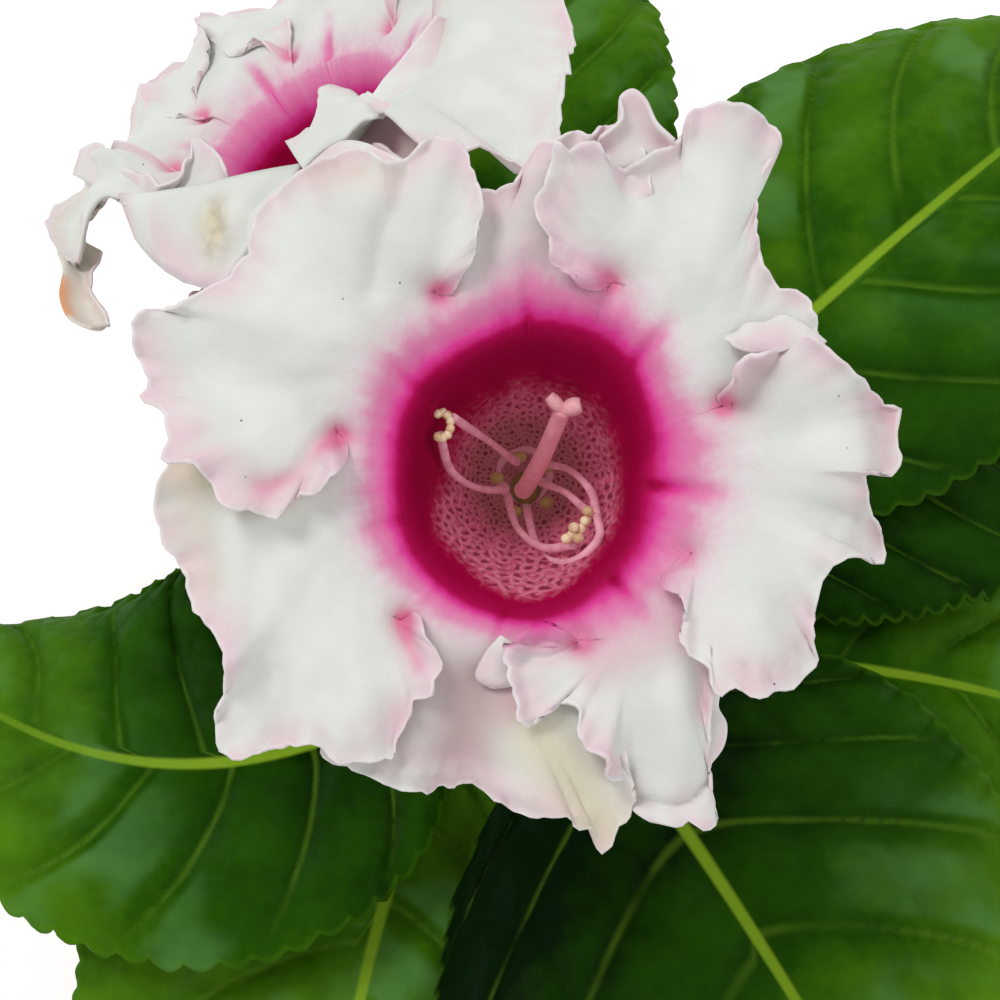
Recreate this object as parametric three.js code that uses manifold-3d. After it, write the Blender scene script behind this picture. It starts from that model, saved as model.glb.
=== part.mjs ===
// A potted gloxinia (Sinningia speciosa): clay pot, soil, tuber with its short stem, nine leaves and two blooms.
// Millimetres, +Z up, origin at the centre of the pot's foot.
import * as THREE from 'three';
import { mergeVertices } from 'three/addons/utils/BufferGeometryUtils.js';
import Module from 'manifold-3d';

const wasm = await Module();
wasm.setup();

// ---- Driving dimensions -------------------------------------------------------------------------------------
const GAP = 0.3; // air between neighbouring pieces
const SLIVER = 0.04; // finest detail kept where pieces are joined
const POT = { height: 115, rimRadius: 65, rimHeight: 24, footRadius: 44, wall: 5, floor: 7, lip: 4, drainRadius: 4.5 };
const DRAIN = { count: 4, circle: 22 };
const SOIL = { top: 102, bump: 1.4 };
const TUBER = { radius: 16, bottom: 80, crown: 105 };
const STEM = { radius: 5.5, topRadius: 4.4, top: 142 };
const BLADE = { thickness: 0.9, rib: 1.6, stalkRadius: 3.1, stalkTip: 1.6, toothDepth: 1.3, cup: 0.12, wave: 0.05 };
const WAVE_START = [1.3, 3.4]; // where the edge's slow wave begins, left and right
const PETAL = { thickness: 1 };
const MOUTH_RADIUS = 18; // corolla's throat, where the lobes open
const ROOT_RADIUS = 20.5; // where the lobes begin
const GATE = 0.25; // share of the way from a lobe's root to its edge at which it may leave its sector
const NOTCH_RAY = 0.024; // share of a lobe's edge between a notch and the ray beside it
const RUFFLE = 2.1;
const LIMB_SHARES = [0, GATE, 0.55, 0.8, 1]; // rows of points along a lobe's rays
// Radius of the corolla's tube and its depth under the mouth, from its floor up.
const TUBE = [[6.9, -39.5], [7.4, -36], [9.4, -26], [11.8, -16], [13.9, -8], [16, -3], [MOUTH_RADIUS, 0]];

const COLOUR = {
  clay: 0xb5694a, soil: 0x3a2a20, stem: 0x8a9a55, leaf: 0x2f6a1e, petal: 0xf3eef0, calyx: 0x7fa04a,
  stamen: 0xe0b9c4, pistil: 0xf0d3da,
};

// ---- Leaves: a Bezier spine from the stem to the tip, and a half-width on each side -------------------------
// root: angle (degrees) and height on the stem; spine: two control points and the tip; start: where the blade
// begins along the spine; sweep: how far each side's base is drawn forward (+) or back (-) along the stalk
const LEAVES = {
  leaf_a: {
    root: [88, 120], spine: [[2, 34, 152], [0, 100, 178], [2, 158, 128]], start: 0.36, sides: [32, 29],
  },
  leaf_b: {
    root: [46, 134], spine: [[22, 14, 165], [72, 62, 184], [126, 120, 137]], start: 0.26, sides: [44, 41],
    sweep: [8, -6],
  },
  leaf_c: {
    root: [14, 114], spine: [[30, 8, 150], [80, 26, 166], [126, 32, 120]], start: 0.26, sides: [32, 29],
  },
  leaf_d: {
    root: [-40, 110.5], spine: [[30, -14, 134], [76, -22, 150], [124, -50, 106]], start: 0.28, sides: [29, 30],
  },
  leaf_e: {
    root: [-60, 127], spine: [[10, -32, 160], [38, -82, 186], [82, -146, 128]], start: 0.24, sides: [43, 60],
    sweep: [14, -10],
  },
  leaf_f: {
    root: [189, 134], spine: [[-18, -42, 166], [-62, -60, 178], [-108, -20, 148]], start: 0.26, sides: [31, 34],
  },
  leaf_g: {
    root: [255, 120], spine: [[-18, -34, 148], [-24, -80, 160], [-28, -140, 116]], start: 0.26, sides: [44, 49],
  },
  leaf_h: {
    root: [140, 127], spine: [[-26, 20, 152], [-44, 36, 156], [-60, 50, 134]], start: 0.3, sides: [18, 18],
  },
  leaf_i: {
    root: [178, 113], spine: [[-24, 4, 140], [-38, 8, 146], [-60, 12, 126]], start: 0.32, sides: [16, 16],
  },
};
const BIG_LEAF_TEETH = 11;
const SMALL_LEAF_TEETH = 6;
const SMALL_LEAF_WIDTH = 20; // half-width up to which a leaf has the fewer teeth

// ---- Corolla lobes: outlines in the plane of the mouth, from one notch to the next --------------------------
// sides: how far the lobe's first and last edge stand above (+) or below (-) its neighbour
// heave: how far the lobe swells outside the mouth at each of these edges; droop: how far its outer part falls
const FRONT_LOBES = [
  { // right
    from: [20.6, -10.7], to: [25.5, 8.6], sides: [2.6, 2.6], waves: 5, phase: 0.4, heave: [1, 0.5], droop: [0, 0],
    edge: [[22.5, -16.5], [21.5, -23], [25.5, -28], [34.5, -28], [36.6, -20], [40, -12.5], [47, -10], [44.5, -4],
      [46.5, 0], [49, 6.5], [41, 15], [33, 20], [29.5, 17.5], [29, 12.5]],
  },
  { // upper right
    from: [25.5, 8.6], to: [10.7, 24.4], sides: [-2.2, 2.6], waves: 4, phase: 1.1, heave: [0.5, 0], droop: [0, 0],
    edge: [[31, 12], [38, 17], [34, 24], [30.4, 28], [30, 37], [33.5, 43], [28, 47.3], [22, 46], [15, 49],
      [8, 41.5], [2.9, 38], [1.4, 34], [5.5, 29]],
  },
  { // top
    from: [10.7, 24.4], to: [-11.4, 23.2], sides: [-2.2, -2.2], waves: 4, phase: 2.0, heave: [0, 0.5], droop: [0, 0],
    edge: [[14.5, 29], [16, 38], [11, 44.5], [4.5, 43], [0.8, 39.5], [-4, 36.5], [-12, 37], [-15, 31]],
  },
  { // upper left
    from: [-11.4, 23.2], to: [-24.4, 4.7], sides: [2.6, 2.6], waves: 4, phase: 0.9, heave: [0.5, 0.5], droop: [0, 0],
    edge: [[-9, 29.5], [-5.8, 34], [-8, 41], [-16, 42.5], [-25, 41], [-35, 34.5], [-38, 26], [-50, 20.4],
      [-50.5, 12], [-47, 5], [-40, -2], [-34, -5.6], [-29, -2]],
  },
  { // lower left
    from: [-24.4, 4.7], to: [-15.9, -19.3], sides: [-2.2, 2.6], waves: 4, phase: 2.6, heave: [0.5, 0], droop: [0, 1],
    edge: [[-32, 5], [-44, 4], [-48.3, -3], [-45, -14.5], [-39, -24], [-40.5, -36], [-32, -37], [-26, -35.5],
      [-17, -36.8], [-13, -31], [-13, -27]],
  },
  { // bottom
    from: [-15.9, -19.3], to: [6.9, -22], sides: [-2.2, -2.2], waves: 4, phase: 0.2, heave: [0, 0.5], droop: [1, 1],
    edge: [[-20, -25], [-26, -32], [-24, -38.5], [-14, -42], [-4, -41], [4, -44.7], [10.3, -50], [14.5, -43],
      [12, -34], [10, -28]],
  },
  { // lower right
    from: [6.9, -22], to: [20.6, -10.7], sides: [2.6, -2.2], waves: 5, phase: 1.7, heave: [0.5, 1], droop: [1, 0],
    edge: [[2.5, -26.5], [-0.8, -29.5], [1.5, -33.5], [7, -34], [10.5, -38.5], [14.5, -44.5], [24.5, -46.5],
      [24.5, -37], [28, -28], [28, -18]],
  },
];

const REAR_LOBES = [
  { // right, broad, swollen over the mouth
    from: [17, -16], to: [18, 17], sides: [2.6, 2.6], waves: 4, phase: 0.4, heave: [8, 2], droop: [4, 1],
    edge: [[17, -24], [24, -33], [35, -31], [43, -21], [50, -14], [51, -3], [47, 10], [42.5, 19], [36, 28],
      [26, 26]],
  },
  { // upper right, narrow
    from: [18, 17], to: [5.1, 23.5], sides: [-2.2, -2.2], waves: 3, phase: 1.1, heave: [2, 0], droop: [1, 0],
    edge: [[25, 24], [28, 36], [22, 44], [12, 42], [4.5, 33]],
  },
  { // top
    from: [5.1, 23.5], to: [-14.4, 19.2], sides: [2.6, 2.6], waves: 4, phase: 2.0, heave: [0, 0], droop: [0, 0],
    edge: [[10, 29], [13, 40], [4, 49], [-10, 50], [-24, 44], [-34, 35], [-42, 28], [-32, 24], [-22, 22]],
  },
  { // upper left, under both neighbours
    from: [-14.4, 19.2], to: [-25, 5], sides: [-2.2, -2.2], waves: 3, phase: 0.9, heave: [0, 0], droop: [0, 0],
    edge: [[-20, 27], [-32, 29], [-41, 23], [-44, 14], [-35, 6]],
  },
  { // left
    from: [-25, 5], to: [-23, -8], sides: [2.6, -2.2], waves: 4, phase: 2.6, heave: [0, 1], droop: [0, 6],
    edge: [[-28, 12], [-37, 22], [-47, 28], [-53, 22], [-51, 10], [-54, -3], [-49, -12], [-34, -12]],
  },
  { // lower left, hanging
    from: [-23, -8], to: [-6, -23], sides: [3.2, -2.2], waves: 5, phase: 0.2, heave: [1, 3], droop: [6, 10],
    edge: [[-32, -8], [-42, -9], [-51, -11], [-54, -19], [-48, -29], [-40, -36], [-32, -36], [-24, -34],
      [-12, -33]],
  },
  { // bottom
    from: [-6, -23], to: [17, -16], sides: [2.6, -2.2], waves: 4, phase: 1.7, heave: [3, 8], droop: [10, 4],
    edge: [[-11, -29], [-15.5, -33], [-11, -38], [-2, -42], [8, -44], [17, -41], [23, -33], [22, -24]],
  },
];

// Paths of the filaments from the ring at the tube's floor to their anthers, and where the anthers sit.
const FILAMENTS = [
  [[3.2, 3.6, -37], [1, 4, -30], [-3.6, 4.8, -21], [-7.4, 6.3, -11], [-9.6, 7.2, -5.5]],
  [[-4.6, 1.2, -37], [-4.6, -2.6, -28], [-8, -2.2, -19], [-10.4, 0.8, -12], [-10.9, 5, -6]],
  [[1.6, 4.6, -37], [3.4, 1.9, -29], [7, 0.6, -21], [9.3, -2.2, -15], [9.3, -5.4, -10]],
  [[4.8, 0.2, -37], [4.6, -2.2, -28], [6.4, -3.6, -21], [8, -4.8, -14], [8.6, -6.2, -9.5]],
  [[-3.6, -3.2, -37], [-2.2, -6.8, -28], [0.4, -8.9, -20], [3.4, -10.2, -13], [7, -9.5, -9.5]],
  [[0.2, -4.8, -37], [1.2, -7, -28], [2.6, -9.3, -18], [4.6, -11.3, -9], [7.6, -10.4, -6.5], [9.2, -7.4, -8]],
];
const ANTHERS = [[-10, 6.2, -5.5], [6.8, -8.5, -9], [8.9, -6.2, -9]];
const STYLE = [[0, 0, -34], [0.6, -1.6, -27], [2.6, 3, -18], [5, 8.6, -8]];
const FLOWER = { filament: 0.55, anther: 1.5, ringRadius: 4.8, ringTube: 0.75, ovary: 3, style: 1.05, stigma: 2.4 };
const CALYX = { sepals: 5, cup: 7.8, tip: 19, valley: 9.6, thickness: 1.2, stalkRadius: 2.3 };

// blooms: centre of the mouth, where the mouth faces, the way its own "up" leans, and its root on the stem
const BLOOMS = {
  bloom_1: {
    lobes: FRONT_LOBES, rays: 17, mouth: [0, -30, 250], facing: [0, -0.407, 0.914], up: [0, 0.914, 0.407],
    root: [-100, 139.5],
  },
  bloom_2: {
    lobes: REAR_LOBES, rays: 13, mouth: [-34.6, 47, 213], facing: [-0.464, 0.366, 0.807], up: [0, 0.914, 0.407],
    root: [110, 139.5],
  },
};

// ---- Small tools --------------------------------------------------------------------------------------------
const vec = (x, y, z) => new THREE.Vector3(x, y, z);
const lerp = THREE.MathUtils.lerp;
const rad = THREE.MathUtils.degToRad;
const smooth = (x, low, high) => THREE.MathUtils.smoothstep(x, low, high);

function geometryFrom(points, triangles) {
  const geometry = new THREE.BufferGeometry();
  geometry.setAttribute('position', new THREE.Float32BufferAttribute(points.flatMap((p) => [p.x, p.y, p.z]), 3));
  geometry.setIndex(triangles.flat());
  return geometry;
}

function solidFrom(geometry) {
  const bare = geometry.clone();
  bare.deleteAttribute('normal');
  bare.deleteAttribute('uv');
  const merged = mergeVertices(bare, 1e-4);
  const vertProperties = new Float32Array(merged.attributes.position.array);
  const corners = [...merged.index.array];
  const kept = (n) => new Set(corners.slice(n - (n % 3), n - (n % 3) + 3)).size === 3;
  const triVerts = new Uint32Array(corners.filter((_, n) => kept(n)));
  return new wasm.Manifold(new wasm.Mesh({ numProp: 3, vertProperties, triVerts }));
}

function geometryOf(solid) {
  const mesh = solid.getMesh();
  const geometry = new THREE.BufferGeometry();
  geometry.setAttribute('position', new THREE.Float32BufferAttribute(mesh.vertProperties, mesh.numProp));
  geometry.setIndex([...mesh.triVerts]);
  return geometry;
}

// One body out of several: joined, with slivers closed and loose scraps dropped.
function fuse(geometries) {
  const joined = geometries.map(solidFrom).reduce((all, one) => all.add(one)).simplify(SLIVER);
  const bodies = joined.decompose().sort((a, b) => b.volume() - a.volume());
  return geometryOf(bodies[0]);
}

function cut(geometry, tools) {
  return geometryOf(tools.map(solidFrom).reduce((left, tool) => left.subtract(tool), solidFrom(geometry)));
}

// The upward normal at one point of a grid of points.
function gridNormal(grid, i, j) {
  const rows = grid.length - 1;
  const columns = grid[0].length - 1;
  const along = grid[Math.min(i + 1, rows)][j].clone().sub(grid[Math.max(i - 1, 0)][j]);
  const across = grid[i][Math.min(j + 1, columns)].clone().sub(grid[i][Math.max(j - 1, 0)]);
  return across.cross(along).normalize();
}

// Triangles between two rows of points, of any lengths; a closed row also joins its end to its start. Open rows
// are split alike from both ends, their diagonals leaning to the ends of the second row or, inward, of the first.
function band(first, firstSize, second, secondSize, closed, inward = false) {
  const triangles = [];
  const [steps, otherSteps] = [firstSize, secondSize].map((size) => (closed ? size : size - 1));
  let [i, j] = [0, 0];
  while (i < steps || j < otherSteps) {
    const [a, b] = [first + (i % firstSize), second + (j % secondSize)];
    const lead = (j + 1) / otherSteps - (i + 1) / steps;
    const firstGoes = Math.abs(lead) < 1e-9 ? closed || (i < steps / 2) !== inward : lead > 0;
    if (j >= otherSteps || (i < steps && firstGoes)) {
      i += 1;
      triangles.push([a, b, first + (i % firstSize)]);
    } else {
      j += 1;
      triangles.push([a, b, second + (j % secondSize)]);
    }
  }
  return triangles;
}

// A closed body through rings of points, from one end's centre over its skin to the other end's centre.
function loft(start, rings, end) {
  const points = [start, ...rings.flat(), end];
  const triangles = [];
  let first = 1;
  rings[0].forEach((_, k, ring) => triangles.push([0, first + k, first + ((k + 1) % ring.length)]));
  for (let n = 0; n < rings.length - 1; n += 1) {
    const second = first + rings[n].length;
    triangles.push(...band(first, rings[n].length, second, rings[n + 1].length, true));
    first = second;
  }
  const last = points.length - 1;
  rings.at(-1).forEach((_, k, ring) => triangles.push([last, first + ((k + 1) % ring.length), first + k]));
  return geometryFrom(points, triangles);
}

// A closed wedge: rows of points run over its skin from the inner to the outer end of an axis, and its two side
// walls join each row's ends to those of the row facing it.
function wedge(rows) {
  const starts = rows.map((_, n) => rows.slice(0, n).reduce((sum, row) => sum + row.length, 0));
  const triangles = [];
  for (let n = 0; n < rows.length - 1; n += 1) {
    const inward = n >= rows.length / 2;
    triangles.push(...band(starts[n], rows[n].length, starts[n + 1], rows[n + 1].length, false, inward));
  }
  const end = (n) => starts[n] + rows[n].length - 1;
  for (let n = 0; n < rows.length / 2 - 1; n += 1) {
    const facing = rows.length - 1 - n;
    const [near, far] = [[starts[n], starts[facing]], [starts[n + 1], starts[facing - 1]]];
    triangles.push([near[0], near[1], far[1]], [near[0], far[1], far[0]]);
    const [nearEnd, farEnd] = [[end(n), end(facing)], [end(n + 1), end(facing - 1)]];
    triangles.push([nearEnd[0], farEnd[1], nearEnd[1]], [nearEnd[0], farEnd[0], farEnd[1]]);
  }
  return geometryFrom(rows.flat(), triangles);
}

// A closed sheet about a grid of points, split into triangles alike on both faces.
function sheet(grid, above, below) {
  const rows = grid.length;
  const columns = grid[0].length;
  const offset = (distance) => grid.flatMap((row, i) => row.map((point, j) => (
    point.clone().addScaledVector(gridNormal(grid, i, j), distance(i, j)))));
  const points = [...offset(above), ...offset((i, j) => -below(i, j))];
  const under = rows * columns;
  const at = (i, j) => i * columns + j;
  const triangles = [];
  for (let i = 0; i < rows - 1; i += 1) {
    for (let j = 0; j < columns - 1; j += 1) {
      const [a, b, c, d] = [at(i, j), at(i, j + 1), at(i + 1, j + 1), at(i + 1, j)];
      triangles.push([a, b, c], [a, c, d]);
      triangles.push([a + under, c + under, b + under], [a + under, d + under, c + under]);
    }
  }
  const rim = [];
  for (let j = 0; j < columns - 1; j += 1) rim.push(at(0, j));
  for (let i = 0; i < rows - 1; i += 1) rim.push(at(i, columns - 1));
  for (let j = columns - 1; j > 0; j -= 1) rim.push(at(rows - 1, j));
  for (let i = rows - 1; i > 0; i -= 1) rim.push(at(i, 0));
  rim.forEach((p, n) => {
    const q = rim[(n + 1) % rim.length];
    triangles.push([p, p + under, q + under], [p, q + under, q]);
  });
  return geometryFrom(points, triangles);
}

// A closed round stalk along a curve, its radius given along the way.
function stalk(curve, radiusAt, steps, sides) {
  const frames = curve.computeFrenetFrames(steps, false);
  const points = [];
  const triangles = [];
  for (let i = 0; i <= steps; i += 1) {
    const centre = curve.getPointAt(i / steps);
    for (let k = 0; k < sides; k += 1) {
      const angle = (k / sides) * 2 * Math.PI;
      const radius = radiusAt(i / steps);
      points.push(centre.clone()
        .addScaledVector(frames.normals[i], radius * Math.cos(angle))
        .addScaledVector(frames.binormals[i], radius * Math.sin(angle)));
    }
  }
  for (let i = 0; i < steps; i += 1) {
    for (let k = 0; k < sides; k += 1) {
      const [a, b] = [i * sides + k, i * sides + (k + 1) % sides];
      triangles.push([a, b, b + sides], [a, b + sides, a + sides]);
    }
  }
  const last = steps * sides;
  for (let k = 1; k < sides - 1; k += 1) {
    triangles.push([0, k + 1, k], [last, last + k, last + k + 1]);
  }
  return geometryFrom(points, triangles);
}

// A point on the stem's skin, at an angle and a height.
function onStem([angle, height]) {
  const radius = lerp(STEM.radius, STEM.topRadius, (height - TUBER.crown) / (STEM.top - TUBER.crown));
  return vec(radius * Math.cos(rad(angle)), radius * Math.sin(rad(angle)), height);
}

// ---- Pot, soil, tuber and stem ------------------------------------------------------------------------------
const innerRadiusAt = (z) => lerp(POT.footRadius, POT.rimRadius - POT.lip, z / POT.height) - POT.wall;

function potGeometry() {
  const { height, rimRadius, rimHeight, footRadius, lip, floor } = POT;
  const shoulder = height - rimHeight;
  const outer = (z) => lerp(footRadius, rimRadius - lip, z / height);
  const profile = [
    [0, 0], [footRadius - 1, 0], [footRadius, 1.5], [outer(shoulder), shoulder], [rimRadius - 1, shoulder + 1.5],
    [rimRadius, shoulder + 4], [rimRadius, height - 2], [rimRadius - 1.5, height],
    [innerRadiusAt(height) + 1.2, height], [innerRadiusAt(height), height - 1.5], [innerRadiusAt(floor), floor],
    [0, floor],
  ];
  const body = new THREE.LatheGeometry(profile.map(([x, z]) => new THREE.Vector2(x, z)), 32).rotateX(Math.PI / 2);
  const holes = [];
  for (let n = 0; n < DRAIN.count; n += 1) {
    const angle = ((n + 0.5) / DRAIN.count) * 2 * Math.PI;
    const hole = new THREE.CylinderGeometry(POT.drainRadius, POT.drainRadius, 4 * floor, 10).rotateX(Math.PI / 2);
    holes.push(hole.translate(DRAIN.circle * Math.cos(angle), DRAIN.circle * Math.sin(angle), 0));
  }
  return cut(body, holes);
}

const soilBump = (x, y) => (
  SOIL.bump * (Math.sin(0.31 * x + 0.6) * Math.cos(0.27 * y) + 0.5 * Math.sin(0.7 * y + 0.4 * x)));

function soilGeometry() {
  const bottom = POT.floor + GAP;
  const wallRadius = (z) => innerRadiusAt(z) - GAP;
  const holeRadius = TUBER.radius + GAP;
  const holeFloor = TUBER.bottom - GAP;
  const top = [holeRadius, 24, 32, 40, 47, wallRadius(SOIL.top)].map((r) => [r, SOIL.top]);
  const profile = [[0, bottom], [wallRadius(bottom), bottom], ...top.reverse(), [holeRadius, holeFloor], [0, holeFloor]];
  const body = new THREE.LatheGeometry(profile.map(([x, z]) => new THREE.Vector2(x, z)), 32).rotateX(Math.PI / 2);
  const position = body.attributes.position;
  const fade = (r) => smooth(r, holeRadius, 24) * (1 - smooth(r, 47, wallRadius(SOIL.top)));
  for (let n = 0; n < position.count; n += 1) {
    const [x, y, z] = [position.getX(n), position.getY(n), position.getZ(n)];
    if (Math.abs(z - SOIL.top) < 0.01) position.setZ(n, z + fade(Math.hypot(x, y)) * soilBump(x, y));
  }
  return fuse([body]);
}

// The stem on its tuber, or, with some air added, the room that its neighbours leave it.
function stemGeometry(air = 0) {
  const { radius, bottom, crown } = TUBER;
  const profile = [
    [0, bottom], [0.6 * radius, bottom], [0.9 * radius, bottom + 4], [radius, bottom + 9], [radius, crown - 6],
    [0.86 * radius, crown - 1.5], [0.55 * radius, crown], [STEM.radius + 0.8, crown + 1.5], [STEM.radius, crown + 4],
    [STEM.topRadius, STEM.top - 1.5], [0.7 * STEM.topRadius, STEM.top], [0, STEM.top],
  ];
  const points = profile.map(([x, z], n) => new THREE.Vector2(x > 0 ? x + air : 0, z + (n < 5 ? -air : air)));
  return new THREE.LatheGeometry(points, 20).rotateX(Math.PI / 2);
}

// ---- Leaves -------------------------------------------------------------------------------------------------
// Half-width along the blade, from 0 at its base to 1 at its broadest: egg-shaped, blunt at the tip.
const bladeOutline = (q) => Math.sin(Math.PI * q ** 0.85) ** 0.62;

function leafSpine({ root, spine }) {
  const [first, second, tip] = spine.map((p) => vec(...p));
  return new THREE.CubicBezierCurve3(onStem(root), first, second, tip);
}

const teethOf = (leaf) => (leaf.sides[0] > SMALL_LEAF_WIDTH ? BIG_LEAF_TEETH : SMALL_LEAF_TEETH);

// A point of the blade: q runs from its base to its tip, v from the left edge (-1) over the midrib to the right.
function bladePoint(leaf, curve, q, v) {
  const u = lerp(leaf.start, 1, q);
  const forward = curve.getTangent(u);
  const side = forward.clone().cross(vec(0, 0, 1)).normalize();
  const up = side.clone().cross(forward);
  const hand = v < 0 ? 0 : 1;
  const half = leaf.sides[hand] * bladeOutline(q);
  const tooth = Math.abs(v) === 1 ? BLADE.toothDepth * Math.cos(2 * Math.PI * teethOf(leaf) * q) : 0;
  const wave = BLADE.wave * half * v * v * Math.sin(7 * q + WAVE_START[hand]);
  const drawn = (leaf.sweep ? leaf.sweep[hand] : 0) * v * v * (1 - q) * bladeOutline(q);
  return curve.getPoint(u)
    .addScaledVector(side, v * half + Math.sign(v) * tooth)
    .addScaledVector(up, wave - BLADE.cup * half * v * v)
    .addScaledVector(forward, drawn);
}

function leafGeometry(leaf) {
  const curve = leafSpine(leaf);
  const rows = 2 * teethOf(leaf);
  const columns = [-1, -0.55, 0, 0.55, 1];
  const grid = [];
  for (let i = 0; i <= rows; i += 1) {
    const q = lerp(0.012, 0.988, i / rows);
    grid.push(columns.map((v) => bladePoint(leaf, curve, q, v)));
  }
  const half = BLADE.thickness / 2;
  const ribAt = (i, j) => (columns[j] === 0 ? half + lerp(BLADE.rib, 0, i / rows) : half);
  const stalkEnd = lerp(leaf.start, 1, 0.06);
  const radiusAt = (t) => lerp(BLADE.stalkRadius, BLADE.stalkTip, t * t);
  const foot = new THREE.CubicBezierCurve3(...splitBezier(curve, stalkEnd));
  return cut(fuse([sheet(grid, () => half, ribAt), stalk(foot, radiusAt, 6, 8)]), [stemGeometry(GAP)]);
}

// The control points of a Bezier curve's first part.
function splitBezier({ v0, v1, v2, v3 }, t) {
  const mix = (a, b) => a.clone().lerp(b, t);
  const [a, b, c] = [mix(v0, v1), mix(v1, v2), mix(v2, v3)];
  const [d, e] = [mix(a, b), mix(b, c)];
  return [v0.clone(), a, d, mix(d, e)];
}

// ---- Blooms -------------------------------------------------------------------------------------------------
// Height of a lobe over the mouth against the distance from the bloom's axis: it opens, then bends back.
function limbHeight(lobe, t, r) {
  const share = smooth(t, 0.1, 0.9);
  const opening = 2.4 * smooth(r, MOUTH_RADIUS, 25) + 1.6 * smooth(r, 24, 36) - 3.2 * smooth(r, 38, 54);
  const swelling = lerp(...lobe.heave, share) * smooth(r, MOUTH_RADIUS, 27) * (1 - smooth(r, 30, 50));
  return opening + swelling - lerp(...lobe.droop, share) * smooth(r, 30, 56) ** 1.3;
}

// The way outwards at a share of a lobe's sector, exactly through its notches at both ends.
function sectorDirection(lobe, t) {
  if (t === 0 || t === 1) return vec(...(t === 0 ? lobe.from : lobe.to), 0).normalize();
  const [a, b] = [lobe.from, lobe.to].map(([x, y]) => Math.atan2(y, x));
  const angle = a + t * ((b - a + 2 * Math.PI) % (2 * Math.PI));
  return vec(Math.cos(angle), Math.sin(angle), 0);
}

function lobeOutline({ from, edge, to }) {
  return new THREE.CatmullRomCurve3([from, ...edge, to].map(([x, y]) => vec(x, y, 0)), false, 'centripetal');
}

// Where along the lobe's edge its rays end: evenly, but for one close to each notch.
function rayPlaces(rays) {
  const inner = Array.from({ length: rays - 3 }, (_, n) => lerp(0.07, 0.93, n / (rays - 4)));
  return [0, NOTCH_RAY, ...inner, 1 - NOTCH_RAY, 1];
}

// A point of a lobe: t runs along its edge from notch to notch, s from the throat to the edge. Each ray keeps to
// its own sector up to the gate, just outside the notches, and fans out from there.
function lobePoint(lobe, outline, t, s) {
  const atNotch = t === 0 || t === 1;
  const outward = sectorDirection(lobe, t);
  const gateRadius = lerp(Math.hypot(...lobe.from), Math.hypot(...lobe.to), t) + (atNotch ? 0 : 1);
  const root = outward.clone().multiplyScalar(ROOT_RADIUS);
  const gate = outward.clone().multiplyScalar(gateRadius);
  const edge = atNotch ? vec(...(t === 0 ? lobe.from : lobe.to), 0) : outline.getPointAt(t);
  const flat = s < GATE ? root.lerp(gate, s / GATE) : gate.lerp(edge, (s - GATE) / (1 - GATE));
  const reach = Math.hypot(flat.x, flat.y);
  const side = lobe.sides[0] * (1 - smooth(t, 0.22, 0.5)) + lobe.sides[1] * smooth(t, 0.5, 0.78);
  const lift = side * smooth(s, 0.1, 0.9) * smooth(Math.min(t, 1 - t), 0, 0.05);
  const tucked = Math.max(0, -Math.sign(side)) * Math.min(1, Math.abs(side) / 2);
  const wave = atNotch ? 0 : Math.sin(2 * Math.PI * lobe.waves * t + lobe.phase);
  const ruffle = RUFFLE * s * s * smooth(reach, 26, 40) * wave * (1 - 0.85 * tucked);
  return flat.setZ(limbHeight(lobe, t, reach) + lift + ruffle);
}

// A lobe with its share of the tube. Neighbours meet on the ray through their common notch.
function lobeGeometry(lobe, rays) {
  const half = PETAL.thickness / 2;
  const outline = lobeOutline(lobe);
  const tubeRow = (radius, z) => [0, 0.25, 0.5, 0.75, 1].map((t) => (
    sectorDirection(lobe, t).multiplyScalar(radius).setZ(z)));
  const skin = (side) => [
    [vec(0, 0, TUBE[0][1] + side * half)],
    ...TUBE.map(([r, z]) => tubeRow(r - side * half, z + side * (z < TUBE[1][1] ? half : half / 2))),
    ...LIMB_SHARES.map((s) => rayPlaces(rays).map((t) => (
      lobePoint(lobe, outline, t, s).add(vec(0, 0, side * half))))),
  ];
  return wedge([...skin(1), ...skin(-1).reverse()]);
}

const corollaGeometry = ({ lobes, rays }) => fuse(lobes.map((lobe) => lobeGeometry(lobe, rays)));

// Calyx: a cup round the tube's foot with pointed sepals, on its stalk.
function calyxGeometry(bloom, toWorld) {
  const floor = TUBE[0][1] - PETAL.thickness / 2 - GAP;
  const steps = 8;
  const ring = (share, offset) => Array.from({ length: CALYX.sepals * steps }, (_, n) => {
    const angle = (n / (CALYX.sepals * steps)) * 2 * Math.PI;
    const across = Math.abs(((n / steps) % 1) - 0.5) * 2;
    const reach = lerp(CALYX.valley, CALYX.tip, (1 - across) ** 0.8);
    const radius = lerp(CALYX.cup, reach, share);
    const height = floor + 3.5 * smooth(share, 0, 0.1) + 0.55 * (radius - CALYX.cup);
    return vec(radius * Math.cos(angle), radius * Math.sin(angle), height + offset);
  });
  const foot = (radius, height) => Array.from({ length: 20 }, (_, n) => (
    vec(radius * Math.cos((n / 10) * Math.PI), radius * Math.sin((n / 10) * Math.PI), height)));
  const inner = [foot(CALYX.cup - 0.6, floor), ring(0, 0), ring(0.5, 0), ring(1, 0)];
  const wall = CALYX.thickness;
  const outer = [ring(1, -wall), ring(0.5, -wall - 0.2), ring(0, -wall - 0.6), foot(4.5, floor - 2.4)];
  const cup = loft(vec(0, 0, floor), [...inner, ...outer], vec(0, 0, floor - 2.6));
  cup.applyMatrix4(toWorld);
  const top = vec(0, 0, floor - 1.4).applyMatrix4(toWorld);
  const bend = vec(0, 0, floor - 26).applyMatrix4(toWorld);
  const root = onStem(bloom.root);
  const lean = root.clone().multiply(vec(1.9, 1.9, 1)).add(vec(0, 0, 16));
  const path = new THREE.CubicBezierCurve3(root, lean, bend, top);
  return cut(fuse([cup, stalk(path, () => CALYX.stalkRadius, 9, 8)]), [stemGeometry(GAP)]);
}

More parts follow.
